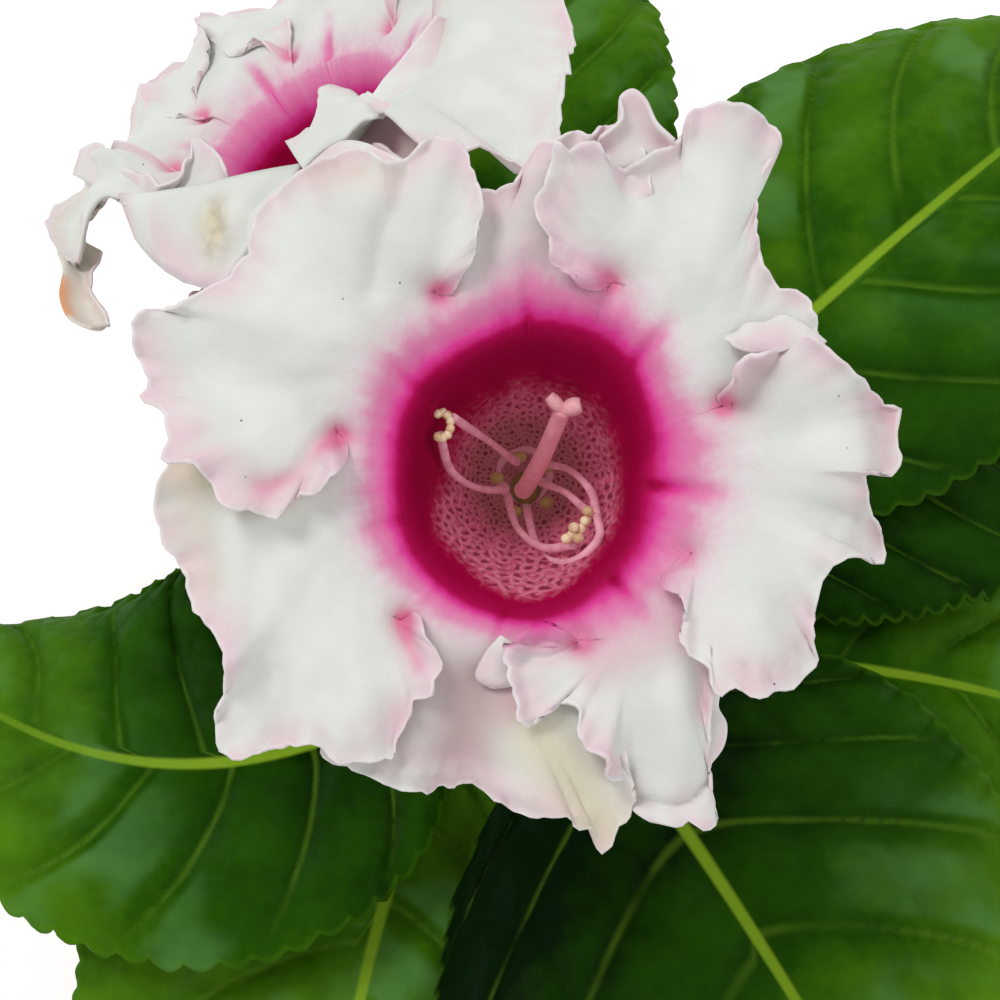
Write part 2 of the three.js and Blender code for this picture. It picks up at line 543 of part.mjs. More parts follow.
function stamensGeometry() {
  const { filament, anther, ringRadius, ringTube } = FLOWER;
  const ring = new THREE.TorusGeometry(ringRadius, ringTube, 4, 12).translate(0, 0, -37.3);
  const filaments = FILAMENTS.map((path) => (
    stalk(new THREE.CatmullRomCurve3(path.map((p) => vec(...p))), () => filament, 7, 5)));
  const anthers = ANTHERS.map((place) => (
    new THREE.IcosahedronGeometry(anther, 1).scale(1.15, 1, 0.8).translate(...place)));
  return fuse([ring, ...filaments, ...anthers]);
}

function pistilGeometry() {
  const { ovary, style, stigma } = FLOWER;
  const egg = new THREE.SphereGeometry(ovary, 10, 6).scale(1, 1, 1.15).rotateX(Math.PI / 2).translate(0, 0, -35.2);
  const path = new THREE.CatmullRomCurve3(STYLE.map((p) => vec(...p)));
  const tip = path.getPoint(1);
  const lobes = [-1, 1].map((side) => (
    new THREE.SphereGeometry(stigma * 0.66, 8, 6).scale(1.1, 0.95, 0.6)
      .translate(tip.x + side * 1.1, tip.y - side * 0.5, tip.z)));
  return fuse([egg, stalk(path, () => style, 9, 6), ...lobes]);
}

// ---- The plant in its pot -----------------------------------------------------------------------------------
const part = new THREE.Group();

function addMesh(name, geometry, colour, roughness = 0.6) {
  const mesh = new THREE.Mesh(geometry, new THREE.MeshStandardMaterial({ color: colour, roughness, metalness: 0 }));
  mesh.name = name;
  part.add(mesh);
}

addMesh('pot', potGeometry(), COLOUR.clay, 0.85);
addMesh('soil', soilGeometry(), COLOUR.soil, 1);
addMesh('tuber_and_stem', stemGeometry(), COLOUR.stem);

for (const [name, leaf] of Object.entries(LEAVES)) addMesh(name, leafGeometry(leaf), COLOUR.leaf);

for (const [name, bloom] of Object.entries(BLOOMS)) {
  const z = vec(...bloom.facing).normalize();
  const x = vec(...bloom.up).cross(z).normalize();
  const y = z.clone().cross(x);
  const toWorld = new THREE.Matrix4().makeBasis(x, y, z).setPosition(...bloom.mouth);
  addMesh(`${name}_corolla`, corollaGeometry(bloom).applyMatrix4(toWorld), COLOUR.petal);
  addMesh(`${name}_calyx`, calyxGeometry(bloom, toWorld), COLOUR.calyx);
  addMesh(`${name}_stamens`, stamensGeometry().applyMatrix4(toWorld), COLOUR.stamen);
  addMesh(`${name}_pistil`, pistilGeometry().applyMatrix4(toWorld), COLOUR.pistil);
}

export default part;
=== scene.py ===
"""Dresses a potted gloxinia: blooms, leaves, calyces, stem, soil and pot, with a floor, lights and camera.

Sizes are in millimetres until a mesh is written. Every bloom is shaped in its own frame: the mouth of its
tube lies in the plane z = 0, z runs out of the mouth, and x and y are its right and its up.
"""

from __future__ import annotations

import logging
import math
import random
from dataclasses import dataclass, field
from enum import Enum
from typing import Union

import bmesh
import bpy
import numpy as np
from mathutils import Matrix, Vector

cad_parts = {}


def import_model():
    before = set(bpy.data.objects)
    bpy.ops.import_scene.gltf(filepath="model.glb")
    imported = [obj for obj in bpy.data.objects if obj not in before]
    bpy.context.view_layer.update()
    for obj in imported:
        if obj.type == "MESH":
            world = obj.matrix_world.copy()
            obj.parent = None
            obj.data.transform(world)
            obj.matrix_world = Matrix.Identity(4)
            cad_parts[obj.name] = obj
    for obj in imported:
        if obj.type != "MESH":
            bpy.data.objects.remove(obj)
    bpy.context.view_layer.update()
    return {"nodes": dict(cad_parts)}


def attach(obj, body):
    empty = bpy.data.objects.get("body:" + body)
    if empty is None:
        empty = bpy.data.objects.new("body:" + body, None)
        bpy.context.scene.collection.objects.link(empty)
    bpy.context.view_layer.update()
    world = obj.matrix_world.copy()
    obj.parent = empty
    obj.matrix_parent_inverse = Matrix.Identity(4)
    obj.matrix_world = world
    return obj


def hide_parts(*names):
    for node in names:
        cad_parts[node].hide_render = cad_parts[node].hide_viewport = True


LOG = logging.getLogger("gloxinia")
MM = 0.001
MERGE = 1e-6  # metres within which points become one
BODY = "root"
Point2 = tuple[float, float]
Point3 = tuple[float, float, float]
Array = np.ndarray
Grid = np.ndarray  # rows by columns by three
Values = dict[str, np.ndarray]
Piece = bpy.types.Object
Material = bpy.types.Material
Socket = bpy.types.NodeSocket


class Slot(Enum):
    """Names of the plant's material slots."""

    SOIL = "soil"
    STEM = "stem"
    LEAF = "leaf"
    PETAL = "petal"
    CALYX = "calyx"
    STAMEN = "stamen"
    PISTIL = "pistil"


# ---- Numbers and curves ----

SPAN_POINTS = 12  # points on each span of a curve before they are spaced evenly
NOISE_WAVES = 5
NOISE_PEAK = 3.2
OFF_AXIS = (0.0, 0.31, 0.95)  # a way that no tube here starts along


def smooth(x: Array | float, low: float, high: float) -> Array:
    """Eases from 0 at low to 1 at high."""
    u = np.clip((np.asarray(x, dtype=float) - low) / (high - low), 0.0, 1.0)
    return u * u * (3 - 2 * u)


def mix(a: Array | float, b: Array | float, share: Array | float) -> Array:
    """Blends linearly from a to b."""
    return np.asarray(a) + (np.asarray(b) - np.asarray(a)) * share


def bell(distance: Array, width: Array | float) -> Array:
    """A bell of height 1 about no distance."""
    return np.exp(-((distance / width) ** 2))


def turns(count: int) -> Array:
    """Angles evenly spaced round a full turn."""
    return np.linspace(0, 2 * math.pi, count, endpoint=False)


def spline(points: list, count: int) -> Array:
    """Runs a smooth curve through points, even along its length.

    Args:
        points: the points to pass through, each of two or three numbers.
        count: how many points to return.

    Returns:
        An array of count rows.
    """
    p = np.asarray(points, dtype=float)
    p = np.vstack([2 * p[0] - p[1], p, 2 * p[-1] - p[-2]])
    gaps = np.linalg.norm(np.diff(p, axis=0), axis=1)
    knots = np.concatenate([[0], np.cumsum(gaps**0.5 + 1e-6)])  # centripetal, so no bend overshoots
    dense = []
    for k in range(1, len(p) - 2):
        t0, t1, t2, t3 = knots[k - 1 : k + 3]
        t = np.linspace(t1, t2, SPAN_POINTS, endpoint=False)[:, None]
        a1 = (t1 - t) / (t1 - t0) * p[k - 1] + (t - t0) / (t1 - t0) * p[k]
        a2 = (t2 - t) / (t2 - t1) * p[k] + (t - t1) / (t2 - t1) * p[k + 1]
        a3 = (t3 - t) / (t3 - t2) * p[k + 1] + (t - t2) / (t3 - t2) * p[k + 2]
        b1 = (t2 - t) / (t2 - t0) * a1 + (t - t0) / (t2 - t0) * a2
        b2 = (t3 - t) / (t3 - t1) * a2 + (t - t1) / (t3 - t1) * a3
        dense.append((t2 - t) / (t2 - t1) * b1 + (t - t1) / (t2 - t1) * b2)
    line = np.vstack([*dense, p[-2]])
    along = np.concatenate([[0], np.cumsum(np.linalg.norm(np.diff(line, axis=0), axis=1))])
    places = np.linspace(0, along[-1], count)
    return np.stack([np.interp(places, along, line[:, k]) for k in range(line.shape[1])], axis=1)


def eased(line: Array, reach: int) -> Array:
    """Eases the bends of a line and keeps its ends.

    Args:
        line: its points.
        reach: over how many neighbours each way a point is evened out.

    Returns:
        As many points.
    """
    count = len(line)
    place = np.arange(count)
    span = np.minimum(np.minimum(place, count - 1 - place), reach)
    sums = np.vstack([np.zeros(line.shape[1]), np.cumsum(line, axis=0)])
    return (sums[place + span + 1] - sums[place - span]) / (2 * span + 1)[:, None]


def lattice_noise(x: Array, y: Array, seed: int) -> Array:
    """Smooth random waves over a plane, the same for the same seed.

    Args:
        x: places in the plane, in waves.
        y: the same, the other way.
        seed: the seed.

    Returns:
        A number between about -1 and 1 for each place.
    """
    rng = np.random.default_rng(seed)
    total = np.zeros(np.broadcast(x, y).shape)
    for _ in range(NOISE_WAVES):
        angle, phase = rng.uniform(0, 2 * math.pi, 2)
        pitch = rng.uniform(0.7, 1.4)
        total = total + np.sin(pitch * (x * math.cos(angle) + y * math.sin(angle)) + phase)
    return total / NOISE_PEAK


def bezier(points: list[Point3], t: Array) -> tuple[Array, Array]:
    """Follows a cubic Bezier curve.

    Args:
        points: its four points.
        t: shares of the way along it.

    Returns:
        The places and the unit tangents there.
    """
    a, b, c, d = [np.asarray(p, dtype=float) for p in points]
    t = np.asarray(t, dtype=float)[..., None]
    place = (1 - t) ** 3 * a + 3 * (1 - t) ** 2 * t * b + 3 * (1 - t) * t**2 * c + t**3 * d
    slope = 3 * ((1 - t) ** 2 * (b - a) + 2 * (1 - t) * t * (c - b) + t**2 * (d - c))
    return place, slope / np.linalg.norm(slope, axis=-1, keepdims=True)


def moved(points: Array, place: Matrix | Array) -> Array:
    """Points turned and set in their place."""
    turn = np.array(place)
    return points @ turn[:3, :3].T + turn[:3, 3]


# ---- Meshes ----


@dataclass
class Surface:
    """Grids of points that become one mesh, with named values carried by every point."""

    places: list[Array] = field(default_factory=list)
    quads: list[Array] = field(default_factory=list)
    values: dict[str, list[Array]] = field(default_factory=dict)
    size: int = 0

    def add(self, grid: Grid, closed: bool = False, flip: bool = False, **values: Array) -> Surface:
        """Adds a grid of points.

        Args:
            grid: rows by columns by three.
            closed: whether the last column joins the first.
            flip: whether the faces are turned the other way.
            **values: an array of rows by columns for each named value.

        Returns:
            This surface.
        """
        rows, columns = grid.shape[:2]
        ids = self.size + np.arange(rows * columns).reshape(rows, columns)
        right = np.roll(ids, -1, axis=1) if closed else ids[:, 1:]
        left = ids if closed else ids[:, :-1]
        faces = np.stack([left[:-1], right[:-1], right[1:], left[1:]], axis=-1).reshape(-1, 4)
        self.quads.append(faces[:, ::-1] if flip else faces)
        self.places.append(grid.reshape(-1, 3))
        for name in dict.fromkeys([*self.values, *values]):
            held = self.values.setdefault(name, [np.zeros(self.size)] if self.size else [])
            value = np.asarray(values.get(name, 0.0), dtype=float)
            held.append(np.broadcast_to(value, (rows, columns)).reshape(-1))
        self.size += rows * columns
        return self

    def sheet(self, grid: Grid, thickness: float, closed: bool = False, **values: Array) -> Surface:
        """Adds a thin closed body about a grid: two faces and, at its open ends, walls.

        Args:
            grid: rows by columns by three, the middle of the sheet.
            thickness: its thickness.
            closed: whether the last column joins the first.
            **values: an array of rows by columns for each named value.

        Returns:
            This surface.
        """
        rise = grid_normals(grid, closed) * (thickness / 2)
        upper, lower = grid + rise, grid - rise
        self.add(upper, closed, **values)
        self.add(lower, closed, flip=True, **values)
        walls = [((0,), True), ((-1,), False)]
        if not closed:
            walls += [((slice(None), 0), False), ((slice(None), -1), True)]
        for side, flip in walls:
            carried = {name: np.stack([value[side]] * 2) for name, value in values.items()}
            self.add(np.stack([upper[side], lower[side]]), closed, flip, **carried)
        return self

    def object(self, name: str, to_world: Matrix | None = None) -> Piece:
        """Writes the mesh, merged, smooth and in metres, as an object at the origin.

        Args:
            name: the object's name.
            to_world: the place and turn that its points are given, if any.

        Returns:
            The object.
        """
        points = np.vstack(self.places)
        if to_world is not None:
            points = moved(points, to_world)
        mesh = bpy.data.meshes.new(name)
        mesh.from_pydata((points * MM).tolist(), [], np.vstack(self.quads).tolist())
        for key, parts in self.values.items():
            layer = mesh.attributes.new(key, "FLOAT", "POINT")
            layer.data.foreach_set("value", np.concatenate(parts).astype(np.float32))
        made = bpy.data.objects.new(name, mesh)
        bpy.context.collection.objects.link(made)
        clean(made)
        return made


def grid_normals(grid: Grid, closed: bool) -> Grid:
    """Finds a grid's normals by differences between neighbouring rows and columns.

    Args:
        grid: rows by columns by three.
        closed: whether the last column joins the first.

    Returns:
        A unit vector for each point; along z where the grid shrinks to a point.
    """
    along = np.gradient(grid, axis=0)
    if closed:
        across = (np.roll(grid, -1, axis=1) - np.roll(grid, 1, axis=1)) / 2
    else:
        across = np.gradient(grid, axis=1)
    normal = np.cross(across, along)
    size = np.linalg.norm(normal, axis=-1, keepdims=True)
    fallback = np.zeros_like(normal)
    fallback[..., 2] = 1
    return np.where(size > 1e-9, normal / np.maximum(size, 1e-9), fallback)


def clean(made: Piece) -> None:
    """Merges an object's doubled points, drops faces with no area and shades it smooth.

    Args:
        made: the object.
    """
    work = bmesh.new()
    work.from_mesh(made.data)
    bmesh.ops.remove_doubles(work, verts=work.verts, dist=MERGE)
    bmesh.ops.dissolve_degenerate(work, dist=MERGE, edges=work.edges)
    loose = [v for v in work.verts if not v.link_faces]
    bmesh.ops.delete(work, geom=loose, context="VERTS")
    work.to_mesh(made.data)
    work.free()
    made.data.polygons.foreach_set("use_smooth", [True] * len(made.data.polygons))
    made.data.update()


def tube(line: Array, radius: Array, sides: int) -> Grid:
    """Draws rings round a line, without twist, and closes both ends at their centres.

    Args:
        line: the points of the line.
        radius: the radius at each of them.
        sides: how many points a ring has.

    Returns:
        A grid with one row for each point of the line and one for each end.
    """
    tangents = np.gradient(line, axis=0)
    tangents /= np.linalg.norm(tangents, axis=1, keepdims=True)
    normal = np.cross(tangents[0], OFF_AXIS)
    angles = turns(sides)[:, None]
    rings = []
    for centre, tangent, size in zip(line, tangents, radius):
        normal = normal - tangent * np.dot(normal, tangent)
        normal /= np.linalg.norm(normal)
        other = np.cross(tangent, normal)
        rings.append(centre + size * (np.cos(angles) * normal + np.sin(angles) * other))
    ends = [np.broadcast_to(ring.mean(axis=0), ring.shape) for ring in (rings[0], rings[-1])]
    return np.array([ends[0], *rings, ends[1]])


def lathe(radius: Array, height: Array, angle: Array) -> Grid:
    """Turns rows of points about the z axis.

    Args:
        radius: a radius for each row, or for each row and angle.
        height: a height likewise.
        angle: the angles.

    Returns:
        A grid of rows by angles by three.
    """
    x, y = radius * np.cos(angle), radius * np.sin(angle)
    return np.dstack([x, y, np.broadcast_to(height, x.shape)])


def ball(centre: Point3, size: Point3, sides: int, rows: int) -> Grid:
    """Makes an egg.

    Args:
        centre: its centre.
        size: its half sizes.
        sides: how many points go round it.
        rows: how many rings it has from its bottom to its top.

    Returns:
        A closed grid.
    """
    fall = np.linspace(-math.pi / 2, math.pi / 2, rows)[:, None]
    return np.asarray(centre) + lathe(np.cos(fall), np.sin(fall), turns(sides)) * np.asarray(size)


def bake(made: Piece) -> None:
    """Replaces an object's mesh by its evaluated one and removes its modifiers.

    Args:
        made: the object.
    """
    graph = bpy.context.evaluated_depsgraph_get()
    graph.update()
    final = made.evaluated_get(graph)
    mesh = bpy.data.meshes.new_from_object(final, preserve_all_data_layers=True, depsgraph=graph)
    old = made.data
    made.modifiers.clear()
    made.data = mesh
    bpy.data.meshes.remove(old)


def settle(made: Piece, material: Material, node: str) -> None:
    """Dresses a piece, ties it to the frame and reports it.

    Args:
        made: the piece.
        material: its material.
        node: the CAD node that it stands for.
    """
    made.data.materials.clear()
    made.data.materials.append(material)
    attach(made, BODY)
    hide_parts(node)
    made.data.calc_loop_triangles()
    LOG.info("%s: %d triangles", made.name, len(made.data.loop_triangles))


# ---- Shader and geometry trees ----

Operand = Union["Reading", float]


def linear(*levels: int) -> tuple[float, ...]:
    """A display colour of 0 to 255 as the linear colour that a socket takes."""
    shares = [level / 255 for level in levels]
    return (*(s / 12.92 if s <= 0.04045 else ((s + 0.055) / 1.055) ** 2.4 for s in shares), 1.0)


class Wiring:
    """A node tree, with one way to add a node and one to feed a socket."""

    def __init__(self, tree: bpy.types.NodeTree) -> None:
        """Takes the tree."""
        self.tree = tree

    def feed(self, socket: Socket, value: object) -> None:
        """Links a socket to a reading or to another socket, or sets its fixed value.

        Args:
            socket: the socket.
            value: what it is fed with.
        """
        if isinstance(value, Reading):
            value = value.socket
        if isinstance(value, Socket):
            self.tree.links.new(value, socket)
        else:
            socket.default_value = value

    def add(self, kind: str, settings: dict | None = None, inputs: list | dict = ()) -> bpy.types.Node:
        """Adds a node.

        Args:
            kind: the node's type.
            settings: its properties, set first.
            inputs: what its sockets are fed with, in order, by place or by name.

        Returns:
            The node.
        """
        node = self.tree.nodes.new(kind)
        for key, value in (settings or {}).items():
            setattr(node, key, value)
        pairs = inputs.items() if isinstance(inputs, dict) else enumerate(inputs)
        for key, value in pairs:
            self.feed(node.inputs[key], value)
        return node


class Reading:
    """A number that a material reads at each point, with arithmetic that adds Math nodes."""

    def __init__(self, recipe: Recipe, socket: Socket) -> None:
        """Wraps a socket of a recipe's tree."""
        self.recipe = recipe
        self.socket = socket

    def _math(self, operation: str, *others: Operand, clamp: bool = False) -> Reading:
        """Adds one Math node with this value first."""
        settings = {"operation": operation, "use_clamp": clamp}
        return Reading(self.recipe, self.recipe.add("ShaderNodeMath", settings, [self, *others]).outputs[0])

    def __add__(self, other: Operand) -> Reading:
        """The sum."""
        return self._math("ADD", other)

    __radd__ = __add__

    def __sub__(self, other: Operand) -> Reading:
        """The difference."""
        return self._math("SUBTRACT", other)

    def __rsub__(self, other: float) -> Reading:
        """The difference, reflected."""
        return self * -1.0 + other

    def __mul__(self, other: Operand) -> Reading:
        """The product."""
        return self._math("MULTIPLY", other)

    __rmul__ = __mul__

    def __truediv__(self, other: Operand) -> Reading:
        """The quotient."""
        return self._math("DIVIDE", other)

    def __abs__(self) -> Reading:
        """The value without its sign."""
        return self._math("ABSOLUTE")

    def clamp(self) -> Reading:
        """The value kept between 0 and 1."""
        return self._math("ADD", 0.0, clamp=True)

    def part(self) -> Reading:
        """The fraction after the whole number."""
        return self._math("FRACT")

    def ease(self, low: float, high: float) -> Reading:
        """Eases from 0 at low to 1 at high, where low may be the larger.

        Args:
            low: the value at which the result is 0.
            high: the value at which it is 1.

        Returns:
            The eased reading.
        """
        node = self.recipe.add(
            "ShaderNodeMapRange", {"interpolation_type": "SMOOTHSTEP"},
            [self, min(low, high), max(low, high), float(low > high), float(low <= high)],
        )
        return Reading(self.recipe, node.outputs[0])


class Recipe(Wiring):
    """One material: its node tree, and short ways to read, mix and dress."""

    def __init__(self, name: str) -> None:
        """Makes a material with one Principled BSDF.

        Args:
            name: the material's name.
        """
        self.material = bpy.data.materials.new(name)
        self.material.use_nodes = True
        super().__init__(self.material.node_tree)
        self.skin = self.tree.nodes["Principled BSDF"]

    def value(self, attribute: str) -> Reading:
        """Reads a named value that the mesh carries."""
        node = self.add("ShaderNodeAttribute", {"attribute_name": attribute})
        return Reading(self, node.outputs["Fac"])

    def place(self) -> Socket:
        """Object coordinates."""
        return self.add("ShaderNodeTexCoord").outputs["Object"]

    def noise(self, per_metre: float, detail: float) -> Reading:
        """Smooth noise with so many waves in a metre, and finer ones over them."""
        inputs = {"Vector": self.place(), "Scale": per_metre, "Detail": detail}
        return Reading(self, self.add("ShaderNodeTexNoise", None, inputs).outputs[0])

    def cells(self, per_metre: float) -> Reading:
        """Distances to the middles of a pattern of cells."""
        inputs = {"Vector": self.place(), "Scale": per_metre}
        return Reading(self, self.add("ShaderNodeTexVoronoi", None, inputs).outputs[0])

    def drawn_out(self, around: Reading, out: Reading, fine: float, long: float) -> Socket:
        """Coordinates round an axis and out from it, with so many waves in a millimetre of each."""
        return self.add("ShaderNodeCombineXYZ", None, [around * fine, out * long]).outputs[0]

    def streaks(self, place: Socket) -> Reading:
        """Noise over drawn out coordinates."""
        inputs = {"Vector": place, "Scale": 1.0, "Detail": 2.0}
        return Reading(self, self.add("ShaderNodeTexNoise", None, inputs).outputs[0])

    def net(self, place: Socket) -> Reading:
        """Draws a net over drawn out coordinates.

        Args:
            place: the coordinates.

        Returns:
            Distances to its threads.
        """
        settings = {"feature": "DISTANCE_TO_EDGE", "voronoi_dimensions": "2D"}
        inputs = {"Vector": place, "Scale": 1.0}
        return Reading(self, self.add("ShaderNodeTexVoronoi", settings, inputs).outputs[0])

    def blend(self, share: Operand, first: object, second: object) -> Socket:
        """Mixes two colours."""
        return self.add("ShaderNodeMix", {"data_type": "RGBA"}, {0: share, 6: first, 7: second}).outputs[2]

    def ramp(self, share: Reading, stops: list) -> Socket:
        """Finds a colour for each value between 0 and 1.

        Args:
            share: the value.
            stops: pairs of a place and a colour.

        Returns:
            The colour.
        """
        node = self.add("ShaderNodeValToRGB", None, [share])
        ramp = node.color_ramp
        while len(ramp.elements) < len(stops):
            ramp.elements.new(1.0)
        for element, (place, colour) in zip(ramp.elements, stops):
            element.position = place
            element.color = colour
        return node.outputs[0]

    def dress(self, colour: object, roughness: Operand, relief: Reading | None = None, depth: float = 0.0,
              **constants: float | tuple | Socket) -> Material:
        """Feeds the skin.

        Args:
            colour: its colour, fixed or read.
            roughness: its roughness, fixed or read.
            relief: the height of its bumps, from 0 to 1.
            depth: how high they stand.
            **constants: other sockets of the skin, with _ for a space.

        Returns:
            The material.
        """
        fed = {"Base Color": colour, "Roughness": roughness}
        if relief is not None:
            inputs = {"Strength": 1.0, "Distance": depth * MM, "Height": relief}
            fed["Normal"] = self.add("ShaderNodeBump", None, inputs).outputs[0]
        fed |= {key.replace("_", " "): value for key, value in constants.items()}
        for key, value in fed.items():
            self.feed(self.skin.inputs[key], value)
        return self.material


# ---- Finishes ----

BLACK = (0, 0, 0, 1)


@dataclass(frozen=True)
class PetalFinish:
    """White petals, rosy towards their notches, with a crimson mouth and a freckled dark rose throat with a
    painted glow.
    """

    white: tuple = linear(224, 226, 221)
    shade: tuple = linear(214, 218, 210)
    lilac: tuple = linear(228, 200, 208)
    rose: tuple = linear(222, 92, 146)
    cream: tuple = linear(216, 204, 172)
    peach: tuple = linear(226, 150, 96)
    shadow: tuple = linear(160, 124, 128)
    crust: tuple = linear(150, 128, 92)
    # lip is a painted highlight along the petals' thin margin edges
    lip: tuple = linear(240, 238, 236)
    outer: tuple = linear(222, 168, 194)
    blush: tuple = linear(222, 128, 174)
    halo: tuple = linear(217, 62, 148)
    edge: tuple = linear(180, 8, 86)
    rim: tuple = linear(148, 0, 56)
    wall: tuple = linear(172, 78, 104)
    core: tuple = linear(150, 84, 88)
    mesh: tuple = linear(196, 126, 140)
    fleck: tuple = linear(100, 14, 44)
    speck: tuple = linear(60, 44, 40)
    roughness: float = 0.6
    relief: float = 0.3
    specular: float = 0.06
    painted_glow: float = 0.29  # painted glow: how strongly the tube's thin wall emits its own colour, standing in for light shining through it
    net_size: Point2 = (0.72, 1.25)  # threads in a millimetre round the throat and along it

    def limb(self, recipe: Recipe) -> Socket:
        """Colours the pale part of the petals, with painted shade along some creases and a painted highlight
        along their margins.

        Args:
            recipe: the material.

        Returns:
            The colour.
        """
        drift = recipe.noise(110, 2)
        rim = recipe.value("rim")
        pink = (recipe.value("pink") * (0.6 + 0.8 * drift)).clamp()
        scab = recipe.value("crust") * recipe.noise(260, 2).ease(0.3, 0.7)
        dots = recipe.cells(250).ease(0.05, 0.03) * recipe.noise(120, 1).ease(0.53, 0.57)
        colour = self.white
        for share, over in (
            (drift.ease(0.35, 0.65) * 0.8, self.shade),
            (rim.ease(8.0, 0.0) * drift.ease(0.3, 0.6) * 0.8, self.lilac),
            (recipe.value("warm").clamp() * 0.9, self.cream),
            (recipe.value("peach").clamp() * 0.9, self.peach),
            (scab.clamp(), self.crust),
            (pink.ease(0.0, 0.9) * 0.85, self.rose),
            # painted shade along folds and under neighbouring lobes
            (recipe.value("painted_shade").clamp(), self.shadow),
            # a painted highlight right at each margin's edge
            (rim.ease(0.6, 0.1) * 0.5, self.lip),
            (dots * 0.8, self.speck),
        ):
            colour = recipe.blend(share, colour, over)
        return colour

    def mouth(self, recipe: Recipe, pale: Socket, ragged: Reading, rays: Reading) -> Socket:
        """Lays the crimson band and its streaked halo over the pale part.

        Args:
            recipe: the material.
            pale: the colour under them.
            ragged: fine noise about 0, by which their edge is broken.
            rays: noise about 0 that is drawn out the way the streaks run.

        Returns:
            The colour.
        """
        glow = recipe.value("glow")
        streaked = rays * 0.22 * glow.ease(1.0, 0.4) * glow.ease(0.0, 0.3)
        glow = (glow + ragged * 0.1 + streaked).clamp()
        stops = [(0.0, self.outer), (0.37, self.blush), (0.6, self.halo), (0.8, self.edge), (0.95, self.rim)]
        return recipe.blend(glow.ease(0.02, 0.34), pale, recipe.ramp(glow, stops))

    def throat(self, recipe: Recipe) -> Socket:
        """Colours the inside of the tube: a net of paler threads, and dark flecks.

        Args:
            recipe: the material.

        Returns:
            The colour.
        """
        around, depth, reach = (recipe.value(name) for name in ("around", "depth", "reach"))
        strands = recipe.net(recipe.drawn_out(around, reach, *self.net_size))
        spots = recipe.net(recipe.drawn_out(around + 3.7, reach, *self.net_size))
        colour = recipe.blend(depth.ease(20.0, 38.0), self.wall, self.core)
        colour = recipe.blend(strands.ease(0.24, 0.02) * 0.5 * depth.ease(50.0, 8.0), colour, self.mesh)
        flecks = spots.ease(0.14, 0.36) * recipe.noise(500, 2).ease(0.34, 0.5)
        return recipe.blend(flecks * 0.8, colour, self.fleck)

    def build(self) -> Material:
        """Makes the petal material, which reads the values that the corolla's points carry.

        Returns:
            The material.
        """
        recipe = Recipe("petal skin")
        tissue = recipe.noise(900, 4)
        out = recipe.value("reach") + recipe.value("depth")
        ragged = tissue - 0.5
        rays = recipe.streaks(recipe.drawn_out(recipe.value("around"), out, 0.7, 0.1)) - 0.5
        inner = recipe.value("inner")
        colour = recipe.blend(
            (inner + ragged * 0.7 + rays * 0.3).ease(0.7, 1.35),
            self.mouth(recipe, self.limb(recipe), ragged, rays), self.throat(recipe),
        )
        return recipe.dress(
            colour, self.roughness, tissue * 0.35 + recipe.value("pleat") * 0.65, self.relief,
            # painted glow: the tube's colour emitted inside the mouth, as though lit through its thin wall
            Specular_IOR_Level=self.specular, Emission_Strength=self.painted_glow,
            Emission_Color=recipe.blend(inner.ease(0.4, 1.2), BLACK, colour),
        )


@dataclass(frozen=True)
class LeafFinish:
    """Deep green velvet leaves with yellow-green ribs, painted lighter between the veins and by each blade's
    painted light.
    """

    dark: tuple = linear(2, 26, 0)
    mid: tuple = linear(34, 78, 0)
    light: tuple = linear(84, 132, 14)
    sunny: tuple = linear(116, 166, 40)
    # a painted bluish sheen on the raised panels
    painted_sheen_colour: tuple = linear(88, 138, 72)
    vein: tuple = linear(104, 146, 36)
    rib: tuple = linear(128, 166, 36)
    roughness: float = 0.5
    relief: float = 0.7
    specular: float = 0.04

    def build(self) -> Material:
        """Makes the leaves' material, which reads the values that a blade's points carry.

        Returns:
            The material.
        """
        recipe = Recipe("leaf skin")
        along, span, middle, lit = (recipe.value(name) for name in ("along", "span", "middle", "lit"))
        part = recipe.value("lane").part()
        from_vein = 0.5 - abs(part - 0.5)
        vein = from_vein.ease(0.07, 0.0) * span.ease(0.5, 9.0) * recipe.noise(60, 2).ease(0.25, 0.6)
        # painted light on the middle of each panel between two veins, darker next to the veins
        panel = part.ease(0.0, 0.42) * part.ease(1.0, 0.78)
        grain, patch, blotch = recipe.noise(420, 4), recipe.noise(38, 2), recipe.noise(95, 2)
        # painted light from the plump panels and the blade's lit value, varied by random patches
        share = recipe.value("pillow") * 0.08 + panel * 0.08 + patch * 0.45 + blotch * 0.35 + lit - 0.43
        share = share + (grain - 0.5) * 0.2
        stops = [(0.0, self.dark), (0.36, self.mid), (0.74, self.light), (1.0, self.sunny)]
        green = recipe.ramp((share * 0.74).clamp(), stops)
        # painted sheen: bluish highlights on the panel middles, only where the blade is painted lit
        painted_sheen = panel.ease(0.4, 1.0) * recipe.noise(46, 2).ease(0.48, 0.66) * lit.ease(0.25, 0.6)
        rib = (middle / (1.5 - along * 1.05)).ease(1.3, 0.5) * along.ease(1.1, 0.4)
        for strength, over in (
            ((painted_sheen * 0.55).clamp(), self.painted_sheen_colour), (vein * 0.34, self.vein), (rib * 0.95, self.rib),
            (span.ease(1.2, 0.1) * 0.25, self.light),
        ):
            green = recipe.blend(strength, green, over)
        relief = grain * 0.3 - recipe.cells(260) * 0.5
        return recipe.dress(green, self.roughness, relief, self.relief, Specular_IOR_Level=self.specular)


